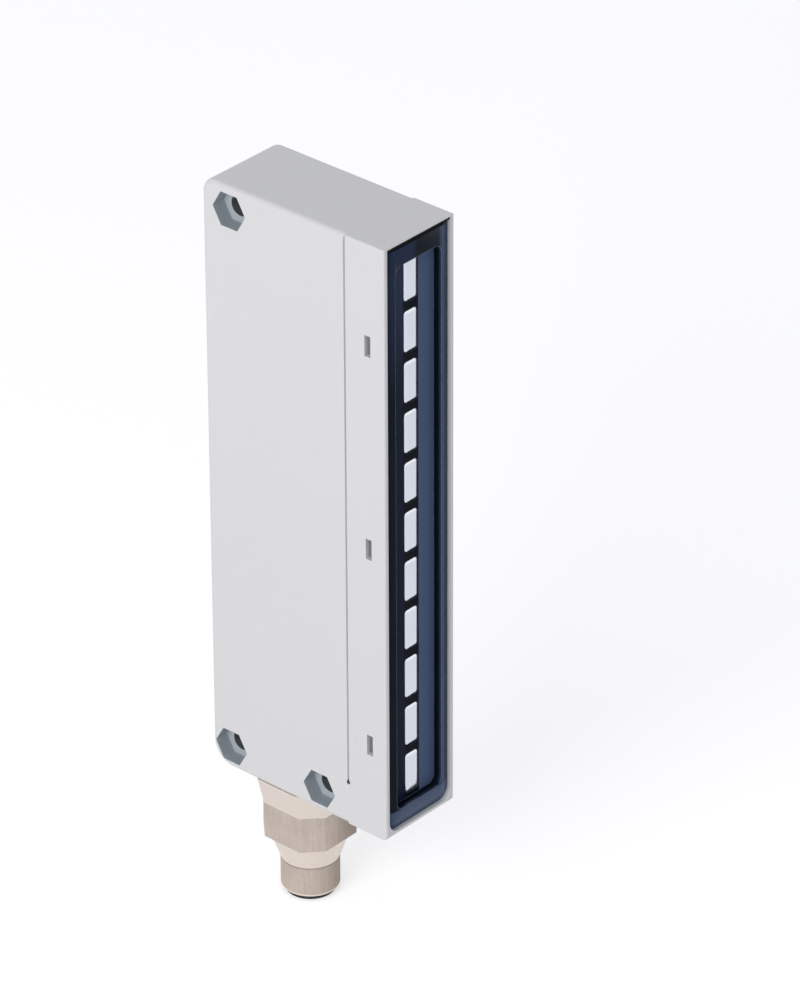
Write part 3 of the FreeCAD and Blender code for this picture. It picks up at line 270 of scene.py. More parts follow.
def calculate_vector(tree, operation, *sources, scale=None):
    return vector_outputs(tree, operation, sources, scale)["Vector"]


def measure_vector(tree, operation, *sources):
    return vector_outputs(tree, operation, sources)["Value"]


def combine(tree, across, along, up):
    node = add_node(tree, "ShaderNodeCombineXYZ")
    for index, source in enumerate((across, along, up)):
        feed(tree, node.inputs[index], source)
    return node.outputs["Vector"]


def split(tree, vector):
    node = add_node(tree, "ShaderNodeSeparateXYZ")
    feed(tree, node.inputs["Vector"], vector)
    return node.outputs


def full_colour(source):
    """A plain red, green and blue with the fourth number that a colour input takes."""
    return source if isinstance(source, bpy.types.NodeSocket) else (*source, 1.0)


def blend(tree, kind, factor, first, second):
    node = add_node(tree, "ShaderNodeMix", data_type=kind)
    first_socket, second_socket, result = MIX_SOCKETS[kind]
    feed(tree, node.inputs[0], factor)
    feed(tree, node.inputs[first_socket], first)
    feed(tree, node.inputs[second_socket], second)
    return node.outputs[result]


def blend_colours(tree, factor, first, second):
    return blend(tree, "RGBA", factor, full_colour(first), full_colour(second))


def blend_level(tree, factor, first, second):
    return blend(tree, "FLOAT", factor, first, second)


def ramp(tree, level, start, end):
    """Nought at the start, one at the end, smooth between them."""
    node = add_node(tree, "ShaderNodeMapRange", interpolation_type="SMOOTHSTEP")
    feed(tree, node.inputs["Value"], level)
    node.inputs["From Min"].default_value = start
    node.inputs["From Max"].default_value = end
    return node.outputs["Result"]


def noise_level(tree, place, scale, detail):
    node = add_node(tree, "ShaderNodeTexNoise")
    feed(tree, node.inputs["Vector"], place)
    feed(tree, node.inputs["Scale"], scale)
    node.inputs["Detail"].default_value = detail
    return node.outputs["Fac"]


def noise_of_size(tree, place, size, detail, fineness=1.0):
    """Noise whose patches are about a size, or coarser where the fineness is below one."""
    return noise_level(tree, place, calculate(tree, "DIVIDE", fineness, size), detail)


def swing(tree, level, amount):
    """A level about a half turned into a swing about nought."""
    return product(tree, calculate(tree, "SUBTRACT", level, 0.5), amount)


# Stage

def direction_frame(azimuth, elevation, roll):
    """The camera's right, up and backward directions."""
    back = Vector((math.sin(azimuth) * math.cos(elevation),
                   -math.cos(azimuth) * math.cos(elevation),
                   math.sin(elevation)))
    level = Vector((math.cos(azimuth), math.sin(azimuth), 0.0))
    upright = back.cross(level)
    right = level * math.cos(roll) + upright * math.sin(roll)
    up = upright * math.cos(roll) - level * math.sin(roll)
    return right, up, back


def add_to_scene(name, data):
    thing = bpy.data.objects.new(name, data)
    bpy.context.scene.collection.objects.link(thing)
    return thing


def add_camera():
    right, up, back = direction_frame(CAMERA_AZIMUTH, CAMERA_ELEVATION, CAMERA_ROLL)
    data = bpy.data.cameras.new("photo_camera")
    data.sensor_fit = "VERTICAL"
    data.sensor_height = SENSOR_MM
    data.lens = LENS_MM
    data.clip_start, data.clip_end = CAMERA_REACH
    camera = add_to_scene("photo_camera", data)
    place = CAMERA_TARGET + back * CAMERA_DISTANCE
    turn = Matrix((right, up, back)).transposed().to_4x4()
    camera.matrix_world = Matrix.Translation(place) @ turn
    bpy.context.scene.camera = camera


def add_lamp(name, place, size, watts, colour):
    """A square soft lamp that faces the middle of the part."""
    data = bpy.data.lights.new(name, "AREA")
    data.shape = "SQUARE"
    data.size = size
    data.energy = watts
    data.color = colour
    lamp = add_to_scene(name, data)
    lamp.location = place
    lamp.rotation_euler = (CAMERA_TARGET - place).to_track_quat("-Z", "Y").to_euler()


def background_rays(tree):
    """One for the rays that show the surroundings: camera, glossy and see-through rays."""
    rays = add_node(tree, "ShaderNodeLightPath").outputs
    return chain(tree, "MAXIMUM", rays["Is Camera Ray"], rays["Is Glossy Ray"],
                 rays["Is Transmission Ray"])


def add_world():
    world = bpy.data.worlds.new("studio")
    world.use_nodes = True
    tree = world.node_tree
    tree.nodes.clear()
    seen = background_rays(tree)
    background = add_node(tree, "ShaderNodeBackground")
    feed(tree, background.inputs["Color"], blend_colours(tree, seen, WORLD_COLOUR, WHITE))
    feed(tree, background.inputs["Strength"], blend_level(tree, seen, WORLD_LEVEL, 1.0))
    output = add_node(tree, "ShaderNodeOutputWorld")
    tree.links.new(background.outputs["Background"], output.inputs["Surface"])
    bpy.context.scene.world = world


def floor_material():
    """Pale and matt, lifted to white where it is seen or mirrored, but dark enough for a shadow."""
    material = bpy.data.materials.new("studio_floor")
    material.use_nodes = True
    tree = material.node_tree
    shader = tree.nodes["Principled BSDF"]
    shader.inputs["Base Color"].default_value = full_colour(FLOOR_COLOUR)
    shader.inputs["Roughness"].default_value = FLOOR_ROUGHNESS
    shader.inputs["Specular IOR Level"].default_value = 0.0
    shader.inputs["Emission Color"].default_value = full_colour(WHITE)
    rays = add_node(tree, "ShaderNodeLightPath").outputs
    mirrored = product(tree, background_rays(tree), MIRRORED_LIFT)
    lift = blend_level(tree, rays["Is Camera Ray"], mirrored, FLOOR_LIFT)
    tree.links.new(lift, shader.inputs["Emission Strength"])
    return material


def add_floor():
    half = FLOOR_SIZE / 2
    corners = [(x, y, cad_box[0][2])
               for x, y in ((-half, -half), (half, -half), (half, half), (-half, half))]
    mesh = bpy.data.meshes.new("studio_floor")
    mesh.from_pydata(corners, [], [(0, 1, 2, 3)])
    mesh.materials.append(floor_material())
    floor = add_to_scene("studio_floor", mesh)


def set_stage():
    bpy.context.scene.view_settings.view_transform = "Standard"
    add_camera()
    add_world()
    add_floor()
    add_lamp("key_lamp", KEY_PLACE, KEY_SIZE, KEY_WATTS, KEY_COLOUR)
    add_lamp("fill_lamp", FILL_PLACE, FILL_SIZE, FILL_WATTS, FILL_COLOUR)


# Effects that several finishes share

def new_group(name, inputs, outputs):
    """A shader group with named sockets: the tree, what it is given and its results."""
    tree = bpy.data.node_groups.new(name, "ShaderNodeTree")
    for label, (kind, value) in inputs.items():
        socket = tree.interface.new_socket(name=label, in_out="INPUT", socket_type=kind)
        if value is not None:
            socket.default_value = value
    for label, kind in outputs.items():
        tree.interface.new_socket(name=label, in_out="OUTPUT", socket_type=kind)
    given = add_node(tree, "NodeGroupInput").outputs
    return tree, given, add_node(tree, "NodeGroupOutput").inputs


def use_group(tree, group, **values):
    node = add_node(tree, "ShaderNodeGroup", node_tree=group)
    for name, value in values.items():
        feed(tree, node.inputs[name], value)
    return node.outputs


def tone_drift_group():
    """A colour that drifts a little lighter and darker over the surface."""
    tree, given, result = new_group(
        "tone_drift",
        {"Place": (VECTOR, None), "Colour": (COLOUR, None), "Size": (FLOAT, 20.0 * MM),
         "Amount": (FLOAT, 0.03)},
        {"Colour": COLOUR})
    drift = swing(tree, noise_of_size(tree, given["Place"], given["Size"], detail=3.0),
                  given["Amount"])
    gain = calculate(tree, "ADD", product(tree, drift, 2.0), 1.0)
    tree.links.new(calculate_vector(tree, "SCALE", given["Colour"], scale=gain), result["Colour"])
    return tree


def moulded_grain_group():
    """The fine spark-eroded grain that a mould leaves: small pits over a coarser swell."""
    tree, given, result = new_group(
        "moulded_grain", {"Place": (VECTOR, None), "Size": (FLOAT, 0.3 * MM)}, {"Height": FLOAT})
    pits = noise_of_size(tree, given["Place"], given["Size"], detail=1.0)
    swell = noise_of_size(tree, given["Place"], given["Size"], detail=0.0, fineness=0.2)
    tree.links.new(mixture(tree, pits, swell, share=0.7), result["Height"])
    return tree


def handling_marks_group():
    """Faint patches where a surface was touched: a change to its roughness."""
    tree, given, result = new_group(
        "handling_marks",
        {"Place": (VECTOR, None), "Size": (FLOAT, 12.0 * MM), "Level": (FLOAT, 0.4),
         "Amount": (FLOAT, 0.06)},
        {"Roughness": FLOAT})
    marks = swing(tree, noise_of_size(tree, given["Place"], given["Size"], detail=4.0),
                  given["Amount"])
    tree.links.new(calculate(tree, "ADD", given["Level"], marks, clamp=True), result["Roughness"])
    return tree


def edge_highlight_group():
    """A mask that is one along outer edges, broken up by noise, and nothing on flat ground: it places
    painted edge highlights.
    """
    tree, given, result = new_group(
        "edge_highlight",
        {"Place": (VECTOR, None), "Reach": (FLOAT, 0.2 * MM), "Gain": (FLOAT, 6.0)},
        {"Mask": FLOAT})
    rounded = add_node(tree, "ShaderNodeBevel", samples=6)
    feed(tree, rounded.inputs["Radius"], given["Reach"])
    plain = add_node(tree, "ShaderNodeNewGeometry").outputs["Normal"]
    along = measure_vector(tree, "DOT_PRODUCT", rounded.outputs["Normal"], plain)
    turned = calculate(tree, "MULTIPLY", calculate(tree, "SUBTRACT", 1.0, along), given["Gain"],
                       clamp=True)
    breaks = noise_level(tree, given["Place"], HIGHLIGHT_BREAK_SCALE, detail=3.0)
    tree.links.new(calculate(tree, "MULTIPLY", turned, breaks, clamp=True), result["Mask"])
    return tree


def turned_marks_group():
    """Fine rings that a lathe leaves round an upright axis."""
    tree, given, result = new_group(
        "turned_marks", {"Place": (VECTOR, None), "Pitch": (FLOAT, 0.25 * MM)}, {"Height": FLOAT})
    flat = calculate_vector(tree, "MULTIPLY", given["Place"], LATHE_STRETCH)
    tree.links.new(noise_of_size(tree, flat, given["Pitch"], detail=2.0), result["Height"])
    return tree


def plated_spangle_group():
    """The fine uneven bloom of plating over a milled face."""
    tree, given, result = new_group(
        "plated_spangle", {"Place": (VECTOR, None), "Size": (FLOAT, 0.4 * MM)},
        {"Height": FLOAT, "Mask": FLOAT})
    stretched = calculate_vector(tree, "MULTIPLY", given["Place"], SPANGLE_STRETCH)
    fine = noise_of_size(tree, stretched, given["Size"], detail=4.0)
    coarse = noise_of_size(tree, given["Place"], given["Size"], detail=2.0, fineness=0.15)
    tree.links.new(fine, result["Height"])
    tree.links.new(mixture(tree, fine, coarse, share=0.65), result["Mask"])
    return tree


TONE_DRIFT = tone_drift_group()
MOULDED_GRAIN = moulded_grain_group()
HANDLING_MARKS = handling_marks_group()
EDGE_HIGHLIGHT = edge_highlight_group()
TURNED_MARKS = turned_marks_group()
PLATED_SPANGLE = plated_spangle_group()


# Finishes

def start_finish(name, roughness, metallic=0.0, specular=0.5, tint=WHITE):
    """A new material: its tree, its shader and the place on the surface."""
    material = bpy.data.materials.new(name)
    material.use_nodes = True
    tree = material.node_tree
    shader = tree.nodes["Principled BSDF"]
    shader.inputs["Roughness"].default_value = roughness
    shader.inputs["Metallic"].default_value = metallic
    shader.inputs["Specular IOR Level"].default_value = specular
    shader.inputs["Specular Tint"].default_value = full_colour(tint)
    return material, tree, shader, add_node(tree, "ShaderNodeTexCoord").outputs["Object"]


def drifting(tree, place, colour, amount, size=20.0 * MM):
    """A colour with a slight drift of its lightness over the surface."""
    return use_group(tree, TONE_DRIFT, Place=place, Colour=full_colour(colour), Size=size,
                     Amount=amount)["Colour"]


def painted_edge_highlight(tree, place, colour, highlight_colour, reach=0.15 * MM, gain=5.0, amount=0.5):
    """A colour that turns to another along outer edges: a painted edge highlight."""
    mask = use_group(tree, EDGE_HIGHLIGHT, Place=place, Reach=reach, Gain=gain)["Mask"]
    return blend_colours(tree, product(tree, mask, amount), colour, highlight_colour)


def grain(tree, place, size):
    """The height of a moulded grain."""
    return use_group(tree, MOULDED_GRAIN, Place=place, Size=size)["Height"]


def end_finish(tree, shader, place, tone, height, depth, marks=0.06):
    """Colour, a roughness with handling marks and a fine relief. Puts out the roughness."""
    tree.links.new(tone, shader.inputs["Base Color"])
    bump = add_node(tree, "ShaderNodeBump")
    bump.inputs["Distance"].default_value = depth
    tree.links.new(height, bump.inputs["Height"])
    tree.links.new(bump.outputs["Normal"], shader.inputs["Normal"])
    level = shader.inputs["Roughness"].default_value
    touched = use_group(tree, HANDLING_MARKS, Place=place, Level=level, Amount=marks)["Roughness"]
    tree.links.new(touched, shader.inputs["Roughness"])
    return touched


def moulded_plastic(name, colour, roughness, grain_size=0.25 * MM, depth=0.004 * MM, drift=0.02,
                    highlight_colour=None, specular=0.5):
    """Plastic or rubber with the grain of its mould, and painted edge highlights where it has a colour
    for them.
    """
    material, tree, shader, place = start_finish(name, roughness, specular=specular)
    tone = drifting(tree, place, colour, drift)
    if highlight_colour:
        tone = painted_edge_highlight(tree, place, tone, highlight_colour)
    end_finish(tree, shader, place, tone, grain(tree, place, grain_size), depth)
    return material


def plated_metal(name, colour, roughness, shade=0.12, size=0.4 * MM, turned=False):
    """Plating, with fine rings where the metal under it was turned."""
    material, tree, shader, place = start_finish(name, roughness, metallic=1.0)
    spangle = use_group(tree, PLATED_SPANGLE, Place=place, Size=size)
    dark = [level * (1.0 - shade) for level in colour]
    light = [level * (1.0 + shade * SHEEN_SHARE) for level in colour]
    tone = blend_colours(tree, spangle["Mask"], dark, light)
    relief = use_group(tree, TURNED_MARKS, Place=place) if turned else spangle
    end_finish(tree, shader, place, tone, relief["Height"], depth=0.003 * MM, marks=0.1)
    return material


def sunk_mask(tree, place, centres, radius, deepest):
    """One round axes along X, from just under the housing's skin down to a depth."""
    reaches = []
    for centre in centres:
        offset = calculate_vector(tree, "SUBTRACT", place, centre[:])
        flat = calculate_vector(tree, "MULTIPLY", offset, (0.0, 1.0, 1.0))
        reaches.append(measure_vector(tree, "LENGTH", flat))
    inside = calculate(tree, "LESS_THAN", chain(tree, "MINIMUM", *reaches), radius)
    across = calculate(tree, "ABSOLUTE", split(tree, place)["X"])
    below_skin = calculate(tree, "LESS_THAN", across, HOUSING_HIGH.x - SKIN)
    above_depth = calculate(tree, "GREATER_THAN", across, HOUSING_HIGH.x - deepest)
    return product(tree, inside, below_skin, above_depth)


def housing_plastic():
    """Pale grey moulding, satin outside, with painted shade on the walls and floors of the nut
    pockets, in the screw holes and in the groove's relief hole, and painted highlights along its
    edges.
    """
    material, tree, shader, place = start_finish(
        "housing_plastic", roughness=0.42, specular=0.45)
    corner = NUT_FLATS / math.sqrt(3) + SKIN
    floors = sunk_mask(tree, place, SCREW_HOLES, corner, NUT_POCKET + SKIN)
    walls = sunk_mask(tree, place, SCREW_HOLES, corner, NUT_POCKET - SKIN)
    bores = sunk_mask(tree, place, SCREW_HOLES, BORE_RADIUS + SKIN, HOUSING_HIGH.x)
    relief = sunk_mask(tree, place, [GROOVE_END], RELIEF_RADIUS + SKIN, HOUSING_HIGH.x)
    # Painted shade on the floors and walls of the nut pockets, darker in the screw holes and the
    # groove's relief hole.
    tone = blend_colours(tree, floors, SHELL_GREY, POCKET_FLOOR_SHADE)
    tone = blend_colours(tree, walls, tone, POCKET_WALL_SHADE)
    tone = blend_colours(tree, calculate(tree, "MAXIMUM", bores, relief), tone, BORE_SHADE)
    tone = drifting(tree, place, tone, amount=0.012, size=30.0 * MM)
    # Painted highlight along the outer edges.
    tone = painted_edge_highlight(tree, place, tone, SHELL_EDGE_HIGHLIGHT, amount=0.35)
    end_finish(tree, shader, place, tone, grain(tree, place, 0.3 * MM), depth=0.003 * MM)
    return material


def near_top(tree, height):
    """One near the top of the window, fading out downwards: where the painted sheen lies."""
    return ramp(tree, height, HOUSING_HIGH.z - SHEEN_DROP, HOUSING_HIGH.z - SHEEN_REACH)


def smoked_window():
    """Nearly black moulding with a cool gloss, painted reflections in slate on its right and lower
    border, a painted sheen in navy near the top left, painted edge highlights and a painted shadow
    under the top lip.
    """
    material, tree, shader, place = start_finish(
        "smoked_window", roughness=0.07, specular=0.14, tint=WINDOW_GLOSS)
    shader.inputs["IOR"].default_value = WINDOW_IOR
    at = split(tree, place)
    right = ramp(tree, at["X"], CHANNEL_SIDE - REFLECTION_REACH, CHANNEL_SIDE)
    left = ramp(tree, at["X"], 0.0, -CELL_WIDTH / 2)
    low = ramp(tree, at["Z"], LOW_REFLECTION_END + REFLECTION_REACH, LOW_REFLECTION_END)
    front = ramp(tree, at["Y"], CHANNEL_MIDDLE, CHANNEL_FLOOR - CHANNEL_DEPTH)
    # Painted reflections: slate on the front of the right and lower border, paler slate on the lower
    # border.
    slate = product(tree, calculate(tree, "MAXIMUM", right, low), front)
    # Painted sheen in navy on the front near the top, left of the middle.
    navy = product(tree, near_top(tree, at["Z"]), left, front)
    tone = blend_colours(tree, slate, WINDOW_DARK, WINDOW_SLATE_REFLECTION)
    tone = blend_colours(tree, product(tree, low, front), tone, WINDOW_LOW_REFLECTION)
    tone = blend_colours(tree, navy, tone, WINDOW_NAVY_SHEEN)
    tone = drifting(tree, place, tone, amount=0.3, size=10.0 * MM)
    # Painted highlights along the edges.
    tone = painted_edge_highlight(tree, place, tone, WINDOW_EDGE_HIGHLIGHT, reach=0.25 * MM, gain=9.0, amount=0.9)
    # Painted shadow: black and rough under the housing's top lip.
    under_lip = calculate(tree, "GREATER_THAN", at["Z"], HOUSING_HIGH.z - LIP_SHADE)
    tone = blend_colours(tree, under_lip, tone, LIP_SHADOW)
    swell = grain(tree, place, 1.5 * MM)
    gloss = end_finish(tree, shader, place, tone, swell, depth=0.0008 * MM, marks=0.03)
    roughness = blend_level(tree, under_lip, gloss, LIP_ROUGHNESS)
    tree.links.new(roughness, shader.inputs["Roughness"])
    return material


def channel_floor():
    """The satin floor of the channel: slate right of the cells, painted shadow in navy left of them
    that a painted sheen lightens near the top, and painted shade in black between the cells.
    """
    material, tree, shader, place = start_finish(
        "channel_floor", roughness=0.5, specular=0.06, tint=CHANNEL_GLOSS)
    at = split(tree, place)
    rung_end = CELL_WIDTH / 2 + RUNG_REACH
    right = calculate(tree, "GREATER_THAN", at["X"], rung_end)
    left = calculate(tree, "LESS_THAN", at["X"], -rung_end)
    # Painted shadow in navy left of the cells, lightened by a painted sheen near the top.
    navy = blend_colours(tree, near_top(tree, at["Z"]), CHANNEL_NAVY_SHADOW, CHANNEL_SHADOW_SHEEN)
    # Painted shade in black between the cells; slate, the floor's own colour, right of them.
    tone = blend_colours(tree, right, RUNG_SHADE, CHANNEL_SLATE)
    tone = blend_colours(tree, left, tone, navy)
    tone = drifting(tree, place, tone, amount=0.06, size=10.0 * MM)
    end_finish(tree, shader, place, tone, grain(tree, place, 0.4 * MM), depth=0.003 * MM,
               marks=0.05)
    return material


def silvered_lens():
    """Pale lens cells over a silvered back: they mirror the room softly."""
    material, tree, shader, place = start_finish("silvered_lens", roughness=0.16, metallic=0.85)
    tone = drifting(tree, place, LENS_SILVER, amount=0.03, size=4.0 * MM)
    end_finish(tree, shader, place, tone, grain(tree, place, 0.8 * MM), depth=0.002 * MM,
               marks=0.05)
    return material


def milled_nickel():
    """Duller nickel on the milled and turned sides, with streaks, a painted shade that darkens them
    towards +X, a painted highlight in a bright line at the rim and a painted shade under the cone.
    """
    material, tree, shader, place = start_finish("milled_nickel", roughness=0.5, metallic=1.0)
    spangle = use_group(tree, PLATED_SPANGLE, Place=place, Size=0.35 * MM)
    stretched = calculate_vector(tree, "MULTIPLY", place, STREAK_STRETCH)
    streaks = noise_level(tree, stretched, STREAK_SCALE, detail=3.0)
    at = split(tree, place)
    brushed = mixture(tree, spangle["Mask"], streaks, share=0.5)
    tone = blend_colours(tree, brushed, MILLED_DARK, MILLED_LIGHT)
    # Painted shade: the milled sides darken towards +X.
    side_shade = product(tree, ramp(tree, at["X"], SIDE_SHADE_START, SIDE_SHADE_END), SIDE_SHADE_SHARE)
    tone = blend_colours(tree, side_shade, tone, MILLED_SIDE_SHADE)
    # Painted highlight: a bright line at the rim.
    rim = calculate(tree, "LESS_THAN", at["Z"], RIM_END + RIM_HIGHLIGHT_LINE)
    tone = blend_colours(tree, rim, tone, RIM_HIGHLIGHT)
    under_cone = ramp(tree, at["Z"], BARREL_TOP - SHADE_LINE, BARREL_TOP)
    on_barrel = calculate(tree, "LESS_THAN", at["Z"], BARREL_TOP + SKIN)
    shaded = product(tree, under_cone, on_barrel, BARREL_SHADE_SHARE)
    tone = blend_colours(tree, shaded, tone, BARREL_SHADE)
    tone = drifting(tree, place, tone, amount=0.12, size=4.0 * MM)
    relief = calculate(tree, "ADD", spangle["Height"], streaks)
    end_finish(tree, shader, place, tone, relief, depth=0.006 * MM, marks=0.15)
    return material


def circuit_board():
    """Green solder mask over copper tracks, which show as raised paler lines."""
    material, tree, shader, place = start_finish("circuit_board", roughness=0.3)
    tracks = add_node(tree, "ShaderNodeTexVoronoi", distance="MANHATTAN",
                      feature="DISTANCE_TO_EDGE")
    tree.links.new(place, tracks.inputs["Vector"])
    tracks.inputs["Scale"].default_value = TRACK_SCALE
    line = calculate(tree, "LESS_THAN", tracks.outputs["Distance"], TRACK_WIDTH)
    tone = blend_colours(tree, line, SOLDER_MASK, COVERED_TRACK)
    tone = drifting(tree, place, tone, amount=0.05, size=10.0 * MM)
    end_finish(tree, shader, place, tone, line, depth=0.02 * MM)
    return material


FINISHES = {
    "housing": housing_plastic(),
    "window": smoked_window(),
    "rubber": moulded_plastic("black_rubber", (0.005, 0.005, 0.006), 0.6, grain_size=0.15 * MM,
                              depth=0.006 * MM, drift=0.1, specular=0.1),
    "lens": silvered_lens(),
    # Painted edge highlight: the black plastic's lighter edge colour.
    "black_plastic": moulded_plastic("black_plastic", (0.018, 0.018, 0.02), 0.4, drift=0.08,
                                     highlight_colour=(0.08, 0.08, 0.085)),
    "nickel": plated_metal("bright_nickel", (0.86, 0.775, 0.70), 0.24, shade=0.05, turned=True),
    "gold": plated_metal("gold_contact", (0.86, 0.62, 0.28), 0.2, shade=0.06, turned=True),
    "board": circuit_board(),
    "chip": moulded_plastic("chip_resin", (0.016, 0.016, 0.018), 0.5, grain_size=0.12 * MM,
                            drift=0.1),
    "tin": plated_metal("tinned_sheet", (0.62, 0.63, 0.65), 0.3, shade=0.1, size=0.8 * MM),
    "diode": moulded_plastic("dark_diode", (0.03, 0.02, 0.06), 0.08, grain_size=1.0 * MM,
                             depth=0.001 * MM, drift=0.1),
    "screw_steel": plated_metal("zinc_steel", (0.52, 0.53, 0.55), 0.34, turned=True),
    "can": plated_metal("can_aluminium", (0.64, 0.65, 0.67), 0.32, size=0.6 * MM),
    "ceramic": moulded_plastic("chip_ceramic", (0.42, 0.30, 0.19), 0.5, grain_size=0.1 * MM,
                               drift=0.05),
    "lead": moulded_plastic("lead_insulation", (0.05, 0.05, 0.055), 0.5, grain_size=0.5 * MM),
    # Painted edge highlight: the terminal plastic's lighter edge colour.
    "terminal": moulded_plastic("terminal_plastic", (0.03, 0.16, 0.05), 0.45,
                                highlight_colour=(0.1, 0.3, 0.12)),
}
CHANNEL_FLOOR_FINISH = channel_floor()
MILLED_NICKEL = milled_nickel()
# Painted shade: the hooks get the grey that the pale housing plastic has in shadow.
SHADED_HOOK_FINISH = moulded_plastic("shaded_hook_plastic", (0.19, 0.205, 0.225), 0.5)


def dress_nodes():
    """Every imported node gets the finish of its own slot."""
    for name, slot in SLOTS.items():
        mesh = frame["nodes"][name].data
        mesh.materials.clear()
        mesh.materials.append(FINISHES[slot])


# Pieces made from the nodes' own faces

def take_over(piece, node_name):
    """The piece rides on the body and stands for its node, which is hidden."""
    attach(piece, BODY)
    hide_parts(node_name)


def merged_mesh(node_name, name):
    """A merged copy of a node's mesh, softly shaded."""
    work = bmesh.new()
    work.from_mesh(frame["nodes"][node_name].data)
    bmesh.ops.remove_doubles(work, verts=work.verts, dist=MERGE_REACH)
    for face in work.faces:
        face.smooth = True
        face.material_index = 0
    mesh = bpy.data.meshes.new(name)
    work.to_mesh(mesh)
    work.free()
    mesh.materials.clear()
    mesh.materials.append(FINISHES[SLOTS[node_name]])
    return mesh


def finish_edges(piece, width, segments):
    """Small roundings along the sharp edges, with flat faces that stay flat in the light."""
    bevel = piece.modifiers.new("edges", "BEVEL")
    bevel.width = width
    bevel.segments = segments
    bevel.limit_method = "ANGLE"
    bevel.angle_limit = SHARP_ANGLE
    bevel.use_clamp_overlap = True
    bevel.harden_normals = False
    bevel.miter_outer = "MITER_ARC"
    weighted = piece.modifiers.new("flat_faces", "WEIGHTED_NORMAL")
    weighted.keep_sharp = True
    weighted.weight = FLAT_WEIGHT


def settle(piece):
    """Apply the piece's modifiers to a plain mesh of its own."""
    bpy.context.view_layer.update()
    evaluated = piece.evaluated_get(bpy.context.evaluated_depsgraph_get())
    mesh = bpy.data.meshes.new_from_object(evaluated)
    mesh.name = piece.name
    piece.modifiers.clear()
    piece.data = mesh
    return piece


def dress_faces(mesh, material, belongs):
    """Give a material of their own to the faces that pass a test of their middle and direction."""
    mesh.materials.append(material)
    index = len(mesh.materials) - 1
    for face in mesh.polygons:
        if belongs(face.center, face.normal):
            face.material_index = index


def make_from_node(node_name, name, rounding, segments=2, own_finishes=()):
    """A node's merged faces, some with a finish of their own, with rounded edges."""
    mesh = merged_mesh(node_name, name)
    for material, belongs in own_finishes:
        dress_faces(mesh, material, belongs)
    piece = add_to_scene(name, mesh)
    finish_edges(piece, rounding, segments)
    take_over(settle(piece), node_name)


def on_channel_floor(middle, facing):
    return abs(middle.y - CHANNEL_FLOOR) < FLUSH and facing.y < FORWARDS


def on_hook(middle, facing):
    return abs(middle.x) > HOOK_SIDE and middle.y > CHANNEL_FLOOR + CHANNEL_DEPTH / 2


def on_milled_side(middle, facing):
    return middle.z < FLARE_END and abs(facing.z) < NEARLY_LEVEL


def make_housing():
    make_from_node("housing", "housing_shell", HOUSING_ROUNDING)


def make_window():
    make_from_node("front_bezel", "window_moulding", WINDOW_ROUNDING, segments=3,
                   own_finishes=[(CHANNEL_FLOOR_FINISH, on_channel_floor),
                                 (SHADED_HOOK_FINISH, on_hook)])


def make_gasket():
    make_from_node("window_gasket", "window_seal", GASKET_ROUNDING)


def make_connector():
    make_from_node("connector_body", "connector_shell", CONNECTOR_ROUNDING, segments=3,
                   own_finishes=[(MILLED_NICKEL, on_milled_side)])


def make_insert():
    make_from_node("contact_insert", "connector_insert", INSERT_ROUNDING)


# Pieces made by rule

def new_tree(name, inputs):
    """A geometry tree with named inputs, and the sockets of its group input."""
    tree = bpy.data.node_groups.new(name, "GeometryNodeTree")
    for label, kind in inputs.items():
        tree.interface.new_socket(name=label, in_out="INPUT", socket_type=kind)
    tree.interface.new_socket(name="Geometry", in_out="OUTPUT",
                              socket_type="NodeSocketGeometry")
    return tree, add_node(tree, "NodeGroupInput").outputs


def pass_on(tree, kind, geometry, **inputs):
    """A node that takes some geometry and other inputs and puts out geometry."""
    node = add_node(tree, kind)
    feed(tree, node.inputs["Geometry"], geometry)
    for name, source in inputs.items():
        feed(tree, node.inputs[name], source)
    return node.outputs["Geometry"]


def end_tree(tree, geometry, material):
    """Make the instances real, shade them softly and give them their material."""
    real = pass_on(tree, "GeometryNodeRealizeInstances", geometry)
    smooth = pass_on(tree, "GeometryNodeSetShadeSmooth", real)
    dressed = pass_on(tree, "GeometryNodeSetMaterial", smooth, Material=material)
    feed(tree, add_node(tree, "NodeGroupOutput").inputs["Geometry"], dressed)


def copy_to_points(tree, points, piece):
    copies = add_node(tree, "GeometryNodeInstanceOnPoints")
    feed(tree, copies.inputs["Points"], points)
    feed(tree, copies.inputs["Instance"], piece)
    return copies.outputs["Instances"]


def grow(name, tree, values):
    """An object whose mesh is what the tree makes of the values."""
    piece = add_to_scene(name, bpy.data.meshes.new(name))
    modifier = piece.modifiers.new("rule", "NODES")
    modifier.node_group = tree
    for item in tree.interface.items_tree:
        if item.in_out == "INPUT":
            modifier[item.identifier] = values[item.name]
    return settle(piece)


def rounded_block(tree, width, depth, height, rounding, grid, crown=None):
    """A block with rounded edges: its points move to the rounding's reach from an inner block."""
    block = add_node(tree, "GeometryNodeMeshCube")
    full = combine(tree, width, depth, height)
    feed(tree, block.inputs["Size"], full)
    for label, count in zip(("Vertices X", "Vertices Y", "Vertices Z"), grid):
        block.inputs[label].default_value = count
    point = add_node(tree, "GeometryNodeInputPosition").outputs["Position"]
    edge = combine(tree, rounding, rounding, rounding)
    half = calculate_vector(tree, "SCALE", full, scale=0.5)
    inner = calculate_vector(tree, "SUBTRACT", half, edge)
    outer = calculate_vector(tree, "SCALE", inner, scale=-1.0)
    core = calculate_vector(tree, "MINIMUM",
                            calculate_vector(tree, "MAXIMUM", point, outer), inner)
    away = calculate_vector(tree, "NORMALIZE", calculate_vector(tree, "SUBTRACT", point, core))
    skin = calculate_vector(tree, "SCALE", away, scale=rounding)
    place = calculate_vector(tree, "ADD", core, skin)
    if crown is not None:
        place = add_crown(tree, place, point, full, crown)
    return pass_on(tree, "GeometryNodeSetPosition", block.outputs["Mesh"], Position=place)


